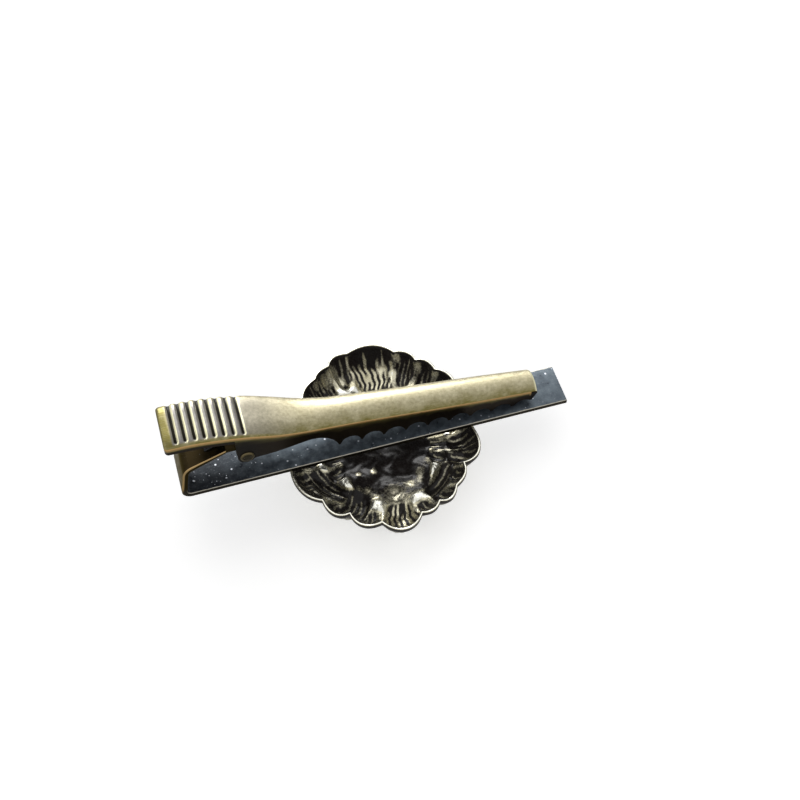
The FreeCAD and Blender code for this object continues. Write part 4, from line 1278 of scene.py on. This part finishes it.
def mane_reach(angle):
    """How far the rim reaches at angles in degrees, and how near the middle of a lock they are."""
    count = len(MANE_LOCK_SHARES)
    turn = (angle - MANE_LOCK_SHARES[0, 0]) % 360
    starts = MANE_LOCK_SHARES[:, 0] - MANE_LOCK_SHARES[0, 0]
    lock = np.searchsorted(starts, turn, side="right") - 1
    following = (lock + 1) % count
    span = (MANE_LOCK_SHARES[following, 0] - MANE_LOCK_SHARES[lock, 0]) % 360
    along = (turn - starts[lock]) / span
    crest = 1 - (2 * along - 1) ** 2
    notch = MANE_LOCK_SHARES[lock, 1] * (1 - along) + MANE_LOCK_SHARES[following, 1] * along
    return notch + (MANE_LOCK_SHARES[lock, 2] - notch) * crest, crest


print("mane has", len(MANE_LOCK_SHARES), "locks along its rim")

# %% [markdown]
# A lock is a long bulge with its place, heading, half length, half width, height and widening. Its front is
# combed by fine furrows. On its back the hair shows as pale lines instead, each with its own start and end,
# and a slow and a quick wave keep them from looking ruled.

# %% One lock of the mane
EMBLEM_RELIEF = 5.2
LOCK_BLUNTNESS = 2.4
HAIRS_PER_WIDTH = 22
FEWEST_HAIRS = 2
SLOW_SWAY = (0.07, 4)
QUICK_SWAY = (0.02, 15)
STRAND_START = (-0.75, 0.4, 2.4)
STRAND_END = (0.70, 0.3, 4.1)
STRAND_FADE = 0.15


def seen_from(x, y, across, up, heading, length, width):
    """Places seen from a feature: along its heading and beside it, in its half sizes."""
    turn = math.radians(heading)
    along = ((x - across) * math.cos(turn) + (y - up) * math.sin(turn)) / length
    return along, ((y - up) * math.cos(turn) - (x - across) * math.sin(turn)) / width


def swayed(u, sway, wave, shift=1):
    """Sideways sway of the hair along a lock."""
    return wave[0] * np.sin(wave[1] * u + shift * sway)


def strands(u, v, count, sway):
    """Hair lines along a lock, from 0 between them to 1 on them."""
    lane = count * (v + swayed(u, sway, SLOW_SWAY) + swayed(u, sway, QUICK_SWAY, shift=2))
    number = np.floor(lane)
    start, end = (middle + spread * np.sin(turns * number + sway)
                  for middle, spread, turns in (STRAND_START, STRAND_END))
    line = np.cos(math.pi * (lane - number - 0.5)) ** 2
    line = line * smooth_step(u - start, -STRAND_FADE, STRAND_FADE)
    return line * (1 - smooth_step(u - end, -STRAND_FADE, STRAND_FADE))


def lock_height(x, y, lock, combed):
    """Height of one lock: a bulge along its heading, combed by hairs, and the hair lines on its back."""
    across, up, heading, length, width, rise, widening = lock
    hairs = max(FEWEST_HAIRS, round(width * HAIRS_PER_WIDTH))
    across, up = across * EMBLEM_HALF[0], up * EMBLEM_HALF[1]
    u, v = seen_from(x, y, across, up, heading, length * EMBLEM_HALF[1], width * EMBLEM_HALF[1])
    v = v / (1 + widening * np.clip(u, -1, 1))
    body = np.sqrt(np.clip(1 - v * v, 0, 1) * np.clip(1 - abs(u) ** LOCK_BLUNTNESS, 0, 1))
    sway = 2 * across + up
    comb = 0.5 + 0.5 * np.cos(2 * math.pi * hairs * (v + swayed(u, sway, SLOW_SWAY)))
    return (rise * EMBLEM_RELIEF - combed * comb) * body, strands(u, v, hairs, sway)


# %% [markdown]
# The mane has a ring of short locks close round the face, which follow a rule, and outside it the locks that
# the picture shows on the back, each given one by one. The highest one wins at every place, as where one lock
# lies over the next. Two ears are bulges without furrows.

# %% Locks of the mane
HAIR_LOCK_SHARES = [
    (0.062, 0.768, 90, 0.226, 0.244, 0.42, 0.30), (0.424, 0.762, 68, 0.207, 0.122, 0.37, 0.10),
    (0.618, 0.646, 52, 0.207, 0.104, 0.37, 0.10), (0.785, 0.512, 38, 0.189, 0.104, 0.35, 0.10),
    (0.847, 0.317, 20, 0.183, 0.110, 0.35, 0.10), (0.868, 0.110, 2, 0.171, 0.110, 0.35, 0.10),
    (0.854, -0.104, -14, 0.183, 0.110, 0.37, 0.10), (0.806, -0.305, -34, 0.165, 0.104, 0.35, 0.10),
    (0.729, -0.500, -50, 0.146, 0.091, 0.37, 0.10), (0.528, -0.463, 46, 0.220, 0.104, 0.42, 0.00),
    (0.514, -0.695, -58, 0.152, 0.104, 0.29, 0.10), (0.326, -0.768, -68, 0.159, 0.085, 0.27, 0.10),
    (0.062, -0.774, -90, 0.220, 0.195, 0.42, 0.35), (-0.222, -0.787, -104, 0.152, 0.085, 0.27, 0.10),
    (-0.368, -0.591, -118, 0.195, 0.146, 0.44, 0.10), (-0.549, -0.683, -125, 0.128, 0.091, 0.27, 0.10),
    (-0.625, -0.341, -48, 0.244, 0.122, 0.40, -0.10), (-0.812, -0.280, 208, 0.165, 0.110, 0.33, 0.10),
    (-0.847, -0.055, 186, 0.177, 0.116, 0.37, 0.10), (-0.833, 0.171, 170, 0.171, 0.110, 0.35, 0.10),
    (-0.785, 0.366, 153, 0.171, 0.098, 0.35, 0.10), (-0.688, 0.549, 138, 0.165, 0.079, 0.33, 0.10),
    (-0.569, 0.665, 128, 0.177, 0.073, 0.33, 0.10), (-0.431, 0.720, 117, 0.183, 0.079, 0.35, 0.10),
    (-0.271, 0.823, 106, 0.177, 0.110, 0.37, 0.10)]
EAR_SHARES = [(0.438, 0.445, 52, 0.146, 0.116, 0.53, 0.0), (-0.354, 0.445, 128, 0.146, 0.116, 0.53, 0.0)]
INNER_LOCK_SHARES = (0.171, 0.098, 0.37, 0.05)
INNER_LOCK_ANGLES = range(-22, 204, 16)
INNER_RING_MIDDLE = (0.042, 0.030)
INNER_RING_REACH = (0.514, 0.524)
INNER_LOCK_SWEEP = 14
HAIR_DEPTH = 0.18
WIDE_LOCK_SHARE = 0.19
NARROW_LOCK_CLEARNESS = 0.55


def inner_locks():
    """Locks close round the face, swept a little downwards."""
    locks = []
    for angle in INNER_LOCK_ANGLES:
        across, up = math.cos(math.radians(angle)), math.sin(math.radians(angle))
        place = (INNER_RING_MIDDLE[0] + INNER_RING_REACH[0] * across,
                 INNER_RING_MIDDLE[1] + INNER_RING_REACH[1] * up)
        locks.append(place + (angle - INNER_LOCK_SWEEP * across,) + INNER_LOCK_SHARES)
    return locks


def mane_height(x, y):
    """The highest of the locks and ears at each place, and the hair lines on it."""
    height, hairs = np.zeros_like(x), np.zeros_like(x)
    for lock in inner_locks() + HAIR_LOCK_SHARES + EAR_SHARES:
        rise, comb = lock_height(x, y, lock, 0.0 if lock in EAR_SHARES else HAIR_DEPTH)
        clearness = 1.0 if lock[4] > WIDE_LOCK_SHARE else NARROW_LOCK_CLEARNESS
        hairs = np.where(rise > height, clearness * comb, hairs)
        height = np.maximum(height, rise)
    return height, hairs


print("mane has", len(inner_locks()) + len(HAIR_LOCK_SHARES), "locks in all")

# %% [markdown]
# The face is a broad oval with smaller bumps and dips on it: brows, eyes in their sockets, the nose with its
# nostrils, two muzzle pads with whisker pits, the mouth, the chin and the cheeks. Each is the same rounded
# bump with its own place, heading, size and height, and the dips have a height below zero. One half is given
# and the other is its mirror image. Only the mouth is a line of its own, a wave that is cut in.

# %% Face of the lion
FACE_MIDDLE = (0.6, -0.5)
FACE_HALF = (6.9, 9.5)
FACE_SQUARENESS = 2.5
FACE_RISE = 1.75
BUMP_ROUNDNESS = 1.5
FACE_SHARES = [
    (0.146, 0.238, 22, 0.159, 0.058, 0.154), (0.165, 0.146, 12, 0.104, 0.052, -0.163),
    (0.165, 0.143, 12, 0.058, 0.034, 0.144), (0.000, 0.110, 90, 0.268, 0.107, 0.154),
    (0.000, -0.128, 0, 0.128, 0.076, 0.163), (0.119, -0.274, -20, 0.152, 0.116, 0.192),
    (0.000, -0.500, 0, 0.128, 0.073, 0.154), (0.280, -0.073, 62, 0.220, 0.110, 0.115),
    (0.262, -0.341, 115, 0.159, 0.091, 0.087), (0.098, 0.384, 70, 0.146, 0.067, 0.067),
    (0.348, 0.445, 52, 0.091, 0.070, -0.250)]
FINE_FACE_SHARES = [
    (0.055, -0.168, 20, 0.034, 0.021, -0.115), (0.000, -0.280, 90, 0.104, 0.018, -0.096),
    (0.000, 0.378, 90, 0.146, 0.030, -0.067), (0.165, 0.140, 0, 0.018, 0.018, -0.060),
    (0.085, -0.256, 0, 0.015, 0.015, -0.054), (0.134, -0.268, 0, 0.015, 0.015, -0.054),
    (0.183, -0.299, 0, 0.015, 0.015, -0.054), (0.104, -0.317, 0, 0.015, 0.015, -0.054),
    (0.152, -0.335, 0, 0.015, 0.015, -0.054)]
MOUTH_HEIGHT = -6.6
MOUTH_WAVE = (0.35, 1.3)
MOUTH_CURL = 0.06
MOUTH_HALF = (3.6, 0.3)
MOUTH_DEPTH = 0.55


def face_height(x, y):
    """Height of the face's oval above the dome, and of the features on it."""
    x = x - FACE_MIDDLE[0]
    off_x, off_y = abs(x / FACE_HALF[0]), abs((y - FACE_MIDDLE[1]) / FACE_HALF[1])
    oval = FACE_RISE * np.sqrt(np.clip(1 - off_x ** FACE_SQUARENESS - off_y ** FACE_SQUARENESS, 0, 1))
    features = np.zeros_like(x)
    half = EMBLEM_HALF[1]
    for out, up, heading, length, width, rise in FACE_SHARES + FINE_FACE_SHARES:
        u, v = seen_from(abs(x), y, out * half, up * half, heading, length * half, width * half)
        features += rise * EMBLEM_RELIEF * np.clip(1 - u * u - v * v, 0, 1) ** BUMP_ROUNDNESS
    mouth = MOUTH_HEIGHT - MOUTH_WAVE[0] * np.cos(MOUTH_WAVE[1] * x) + MOUTH_CURL * x * x
    cut = np.exp(-((y - mouth) / MOUTH_HALF[1]) ** 2) * np.clip(1 - (x / MOUTH_HALF[0]) ** 2, 0, 1)
    return oval, features - MOUTH_DEPTH * cut


# %% [markdown]
# Now the map of the front. From the rim inwards a dome rises. The locks, the lobes along the rim and the oval
# of the face lie on it, whichever is highest, and the features of the face are added. The depth is measured
# from the rim's flat edge, which touches the bar, and stays inside the solid emblem.

# %% Depth map of the front
MAP_STEP = 0.08
MAP_MARGIN = 2
OUTERMOST = 1.08
EMBLEM_LIP = 0.7
EMBLEM_RIM_RISE = 0.8
RIM_STEEPNESS = 14
EMBLEM_DOME = 2.6
DOME_FULLNESS = 3
LOBE_RISE = 1.2
LOBE_PLACE = 0.86
LOBE_SPREAD = 0.10
EDGE_SHARE = 0.10
FRONT_MARGIN = 0.02

emblem_deepest = bar_low[2] - node_box("lion_emblem")[0][2]
map_x = np.arange(-EMBLEM_HALF[0] - MAP_MARGIN, EMBLEM_HALF[0] + MAP_MARGIN, MAP_STEP)
map_y = np.arange(-EMBLEM_HALF[1] - MAP_MARGIN, EMBLEM_HALF[1] + MAP_MARGIN, MAP_STEP)
grid_y, grid_x = np.meshgrid(map_y, map_x, indexing="ij")
grid_across, grid_up = grid_x / EMBLEM_HALF[0], grid_y / EMBLEM_HALF[1]
grid_angle = np.arctan2(grid_up, grid_across)
reach, crest = mane_reach(np.degrees(grid_angle))
grid_out = np.clip(np.hypot(grid_across, grid_up) / reach, 0, OUTERMOST)

rim = EMBLEM_RIM_RISE * (1 - np.minimum(grid_out, 1) ** RIM_STEEPNESS)
dome = EMBLEM_LIP + rim + EMBLEM_DOME * (1 - grid_out ** DOME_FULLNESS)
lobes = LOBE_RISE * crest * np.exp(-((grid_out - LOBE_PLACE) / LOBE_SPREAD) ** 2)
mane, hairs = mane_height(grid_x, grid_y)
oval, features = face_height(grid_x, grid_y)
from_rim = np.clip((1 - grid_out) / EDGE_SHARE, 0, 1)
front_map = dome + np.maximum(np.maximum(mane, lobes) * from_rim, oval) + features
front_map = np.minimum(front_map, emblem_deepest - FRONT_MARGIN)
print("front up to", round(float(front_map.max()), 2), "mm deep")

# %% [markdown]
# Molten brass fills the small detail of a mould, and the back of a thin casting shows it only blurred. So the
# back is the softened front, softest behind the face, less the wall. The wall is measured along the depth, so
# it is longer on slopes. A slight rumple and a bead of metal in the hollow of the face are added.

# %% Depth map of the back
EMBLEM_WALL = 0.7
LEAST_WALL = 0.22
STEEPEST_WALL = 1.5
BACK_SOFTNESS = 0.22
FACE_SOFTNESS = 0.75
FACE_SPAN = (0.2, 0.9)
RUMPLE = 0.045
RUMPLE_WAVES = ((2.6, 1.3, 1.9), (2.2, 1.1, 2.3))
BEAD_PLACE = (-0.16, -0.27)
BEAD_SPREAD = (0.115, 0.085)
BEAD_RISE = 0.75


def softened(values, width):
    """Map blurred over a width in millimetres."""
    rows = np.fft.fftfreq(values.shape[0], MAP_STEP)[:, None]
    columns = np.fft.rfftfreq(values.shape[1], MAP_STEP)[None]
    fade = np.exp(-2 * (math.pi * width) ** 2 * (rows ** 2 + columns ** 2))
    return np.fft.irfft2(np.fft.rfft2(values) * fade, s=values.shape)


def wavy(first, second, wave):
    """Waves along one direction that sway with the other."""
    return np.sin(wave[0] * first + wave[1] * np.sin(wave[2] * second))


def spot(place, spread):
    """Round spot on the map that fades from 1 to 0, with its place and spread as shares."""
    spread = np.broadcast_to(spread, 2)
    off = np.hypot((grid_across - place[0]) / spread[0], (grid_up - place[1]) / spread[1])
    return np.exp(-off ** 2)


in_face = smooth_step(oval, *FACE_SPAN)
soft_front = softened(front_map, BACK_SOFTNESS)
shaped = soft_front * (1 - in_face) + softened(front_map, FACE_SOFTNESS) * in_face
slope = np.hypot(*np.gradient(shaped, MAP_STEP))
wall = EMBLEM_WALL * np.minimum(np.sqrt(1 + slope ** 2), STEEPEST_WALL)
rumple = RUMPLE * wavy(grid_x, grid_y, RUMPLE_WAVES[0]) * wavy(grid_y, grid_x, RUMPLE_WAVES[1])
back_map = np.minimum(shaped + rumple - wall, soft_front - LEAST_WALL)
back_map = back_map - BEAD_RISE * spot(BEAD_PLACE, BEAD_SPREAD)
print("back up to", round(float(back_map.max()), 2), "mm deep")

# %% [markdown]
# The back also has spots of wear that no rule gives, and twelve of them were picked in the photograph. The
# camera sees a picked pixel along a line, which meets the emblem at about the height that its hollow has
# there. That point, turned back by the emblem's tilt, is the spot's place as shares of the half size. Each
# spot has its pixel, that height in millimetres, its spread and its strength: above zero it is rubbed bright,
# below zero it stays black.

# %% Spots picked in the photograph
PHOTO_SIDE = 800
PICKED_SPOTS = {
    "right_cheek_top": (430, 455, -4.0, 0.05, 0.40),
    "right_cheek": (420, 467, -4.0, 0.05, 0.40),
    "right_cheek_foot": (411, 478, -3.6, 0.05, 0.40),
    "left_cheek_top": (358, 484, -3.6, 0.04, 0.35),
    "left_cheek": (367, 486, -3.6, 0.05, 0.40),
    "left_cheek_foot": (376, 493, -3.2, 0.05, 0.45),
    "left_mane_gap": (333.6, 505.6, -1.6, 0.05, 1.10),
    "left_beard_hollow": (357.7, 499, -3.0, 0.09, -0.60),
    "right_jaw_hollow": (439.4, 472, -3.0, 0.10, -0.90),
    "left_jaw_hollow": (348, 485.5, -3.0, 0.07, -0.70),
    "left_mane_hollow": (324, 472, -3.0, 0.09, -0.70),
    "right_mane_hollow": (446, 449, -3.0, 0.08, -0.80),
}
PLACE_DIGITS = 2

tilt_cos, tilt_sin = math.cos(EMBLEM_TILT), math.sin(EMBLEM_TILT)
tilt = np.array([[tilt_cos, -tilt_sin], [tilt_sin, tilt_cos]])


def place_on_emblem(across, down, height):
    """Where the camera's line through a pixel meets a height, as shares of the emblem's half size."""
    middle = PHOTO_SIDE / 2
    ahead = CAMERA_LENS / CAMERA_SENSOR * PHOTO_SIDE
    line = np.array(right * (across - middle) + above * (middle - down) - back * ahead)
    camera_place = np.array(CAMERA_PLACE) / MM
    point = camera_place + line * (height - camera_place[2]) / line[2]
    return ((point[:2] - EMBLEM_PLACE) @ tilt / EMBLEM_HALF).round(PLACE_DIGITS)


picked = [(*place_on_emblem(*pixel), spread, strength) for *pixel, spread, strength in PICKED_SPOTS.values()]
for name, (x, y, *_) in zip(PICKED_SPOTS, picked):
    print("spot", name, "at", x, y)

# %% [markdown]
# Rubbing reaches what stands proud. A map less its own blurred copy says how proud each place stands, and
# that is the whole wear of the front. The back adds its spots to it, the picked ones and others that are
# listed: gaps between locks rubbed bright, hollows left black, patches worn bare, and the pale hair lines of
# the locks.

# %% Wear of the front and the back
FRONT_BROAD = (2.4, 1.6)
FRONT_FINE = (0.5, 0.5)
BACK_BROAD = (1.1, 0.45)
FACE_DULLNESS = 0.8
FACE_DARKNESS = 0.14
RIM_DARK_SPAN = (0.84, 0.95)
RIM_DARKNESS = 0.8
BACK_TONE = 0.34
RUBBED_MANE = [
    (-0.28, 0.66, 0.11, 0.50), (-0.12, 0.64, 0.07, 0.50), (0.27, 0.78, 0.05, 0.60), (0.37, 0.86, 0.05, 0.60),
    (0.72, 0.67, 0.05, 0.55)]
RUBBED_BEARD = [
    (0.05, -0.50, 0.11, 0.45), (-0.12, -0.64, 0.07, 0.50), (0.26, -0.62, 0.08, 0.45),
    (0.33, -0.38, 0.05, 0.30)]
# painted highlights: two glints on the bead in the hollow of the face
BEAD_GLINTS = [(-0.27, -0.21, 0.026, 0.55), (-0.11, -0.19, 0.03, 0.80)]
BLACK_TUFT = [(0.05, 0.70, 0.07, -1.60), (0.18, 0.67, 0.07, -1.60)]
BARE_PATCHES = [
    (-0.36, 0.79, 0.085), (-0.45, 0.74, 0.05), (-0.28, 0.77, 0.05), (-0.56, 0.68, 0.035), (0.17, 0.84, 0.045),
    (0.02, 0.79, 0.04), (0.55, 0.72, 0.04), (0.71, 0.60, 0.04), (0.36, 0.85, 0.03)]
BARE_STRENGTH = 0.92
HAIR_CONTRAST = 0.95
HAIR_END_SPAN = (0.92, 0.985)
HAIR_END_WAVES = ((0.022, 53), (0.018, 91))
FACE_EDGE = 0.1


def proud_of(values, blur):
    """How far a map stands out of its copy that is blurred over a width, in a given height."""
    return (values - softened(values, blur[0])) / blur[1]


front_proud = proud_of(front_map, FRONT_BROAD) + proud_of(front_map, FRONT_FINE)
back_proud = -proud_of(back_map, BACK_BROAD) * (1 - FACE_DULLNESS * in_face) - FACE_DARKNESS * in_face
back_proud = back_proud - RIM_DARKNESS * smooth_step(grid_out, *RIM_DARK_SPAN)
for x, y, spread, strength in RUBBED_MANE + RUBBED_BEARD + BEAD_GLINTS + picked + BLACK_TUFT:
    back_proud = back_proud + strength * spot((x, y), spread)
for x, y, spread in BARE_PATCHES:
    back_proud = np.maximum(back_proud, BARE_STRENGTH * spot((x, y), spread) - BACK_TONE)
ragged = sum(height * np.sin(waves * grid_angle) for height, waves in HAIR_END_WAVES)
lines = HAIR_CONTRAST * hairs * (oval < FACE_EDGE) * (1 - smooth_step(grid_out + ragged, *HAIR_END_SPAN))
back_proud = np.maximum(back_proud, lines - BACK_TONE)
print("wear of the back from", round(float(back_proud.min()), 2), "to", round(float(back_proud.max()), 2))

# %% [markdown]
# The mesh is a round grid: rings of points from the middle of the back out to the rim, over the rim's flat
# edge and down its side, then over the front back to the middle. Each ring reads its depth and its wear from
# the maps, and the rim's own rings have fixed ones: bright on the flat edge and dark beside it.

# %% Rings of the emblem
EMBLEM_SECTORS = 560
BACK_RINGS = 66
FRONT_RINGS = 74
BACK_END = 0.962
FRONT_START = 0.996
RIM_RINGS = ((0.974, 0.10), (0.982, 0.0), (0.992, 0.0), (1.0, 0.08), (1.0, 0.55))
RIM_TONES = (0.1, 1.0)
LEAST_DEPTH = 0.02
FRONT_TONE = 0.60
FRONT_CONTRAST = 0.8
SHORT_OF_END = 1.001


def read_map(values, x, y):
    """Values of a map between its points."""
    column = np.clip((x - map_x[0]) / MAP_STEP, 0, len(map_x) - SHORT_OF_END)
    row = np.clip((y - map_y[0]) / MAP_STEP, 0, len(map_y) - SHORT_OF_END)
    i, j = row.astype(int), column.astype(int)
    s, t = row - i, column - j
    return ((values[i, j] * (1 - t) + values[i, j + 1] * t) * (1 - s)
            + (values[i + 1, j] * (1 - t) + values[i + 1, j + 1] * t) * s)


angle = np.radians(np.linspace(0, 360, EMBLEM_SECTORS, endpoint=False))
rim_reach, _ = mane_reach(np.degrees(angle))
rim_xy = (rim_reach * np.stack([np.cos(angle), np.sin(angle)]) * EMBLEM_HALF[:, None]).T
rings, tones = [], []
for out in np.linspace(0, BACK_END, BACK_RINGS + 1)[1:]:
    x, y = (rim_xy * out).T
    rings.append(np.column_stack([x, y, np.maximum(read_map(back_map, x, y), LEAST_DEPTH)]))
    tones.append(np.clip(BACK_TONE + read_map(back_proud, x, y), 0, 1))
for out, depth in RIM_RINGS:
    rings.append(np.column_stack([rim_xy * out, np.full(EMBLEM_SECTORS, depth)]))
    tones.append(np.full(EMBLEM_SECTORS, RIM_TONES[depth == 0]))
for out in np.linspace(FRONT_START, 0, FRONT_RINGS + 1)[:-1]:
    x, y = (rim_xy * out).T
    rings.append(np.column_stack([x, y, read_map(front_map, x, y)]))
    tones.append(np.clip(FRONT_TONE + FRONT_CONTRAST * read_map(front_proud, x, y), 0, 1))
print("emblem has", len(rings), "rings")

# %% [markdown]
# One point closes the grid at each end, with a fan of triangles to its nearest ring. The points are then
# turned a little, as the head sits on the bar, and set down below the bar's face.

# %% Mesh of the emblem
MIDDLE_TONE = 0.5

middle = np.zeros(1)
middles = np.array([(0, 0, read_map(values, middle, middle)[0]) for values in (back_map, front_map)])
points = np.concatenate(rings + [middles])
points = np.column_stack([points[:, :2] @ tilt.T + EMBLEM_PLACE, bar_low[2] - points[:, 2]])
faces = grid_faces(len(rings), EMBLEM_SECTORS, wrapped=True, turned=True)
last = (len(rings) - 1) * EMBLEM_SECTORS
for i in range(EMBLEM_SECTORS):
    following = (i + 1) % EMBLEM_SECTORS
    faces.append([len(points) - 2, i, following])
    faces.append([len(points) - 1, last + following, last + i])
ridge = np.concatenate(tones + [np.full(2, MIDDLE_TONE)])
emblem = mesh_piece("emblem", points, faces, "cast_brass", {"ridge": ridge})
dress(emblem, "bar", "lion_emblem")

# %% [markdown]
# ## The solder
#
# Two beads of solder hold the bar on the emblem's rim. They are hidden under the bar, so the solid pieces are
# kept and only take the dull grey finish.

# %% Finish of the solder
solder = frame["nodes"]["solder_joints"]
for slot in solder.material_slots:
    slot.material = finishes["solder"]
print("solder beads keep", len(solder.data.polygons), "faces")
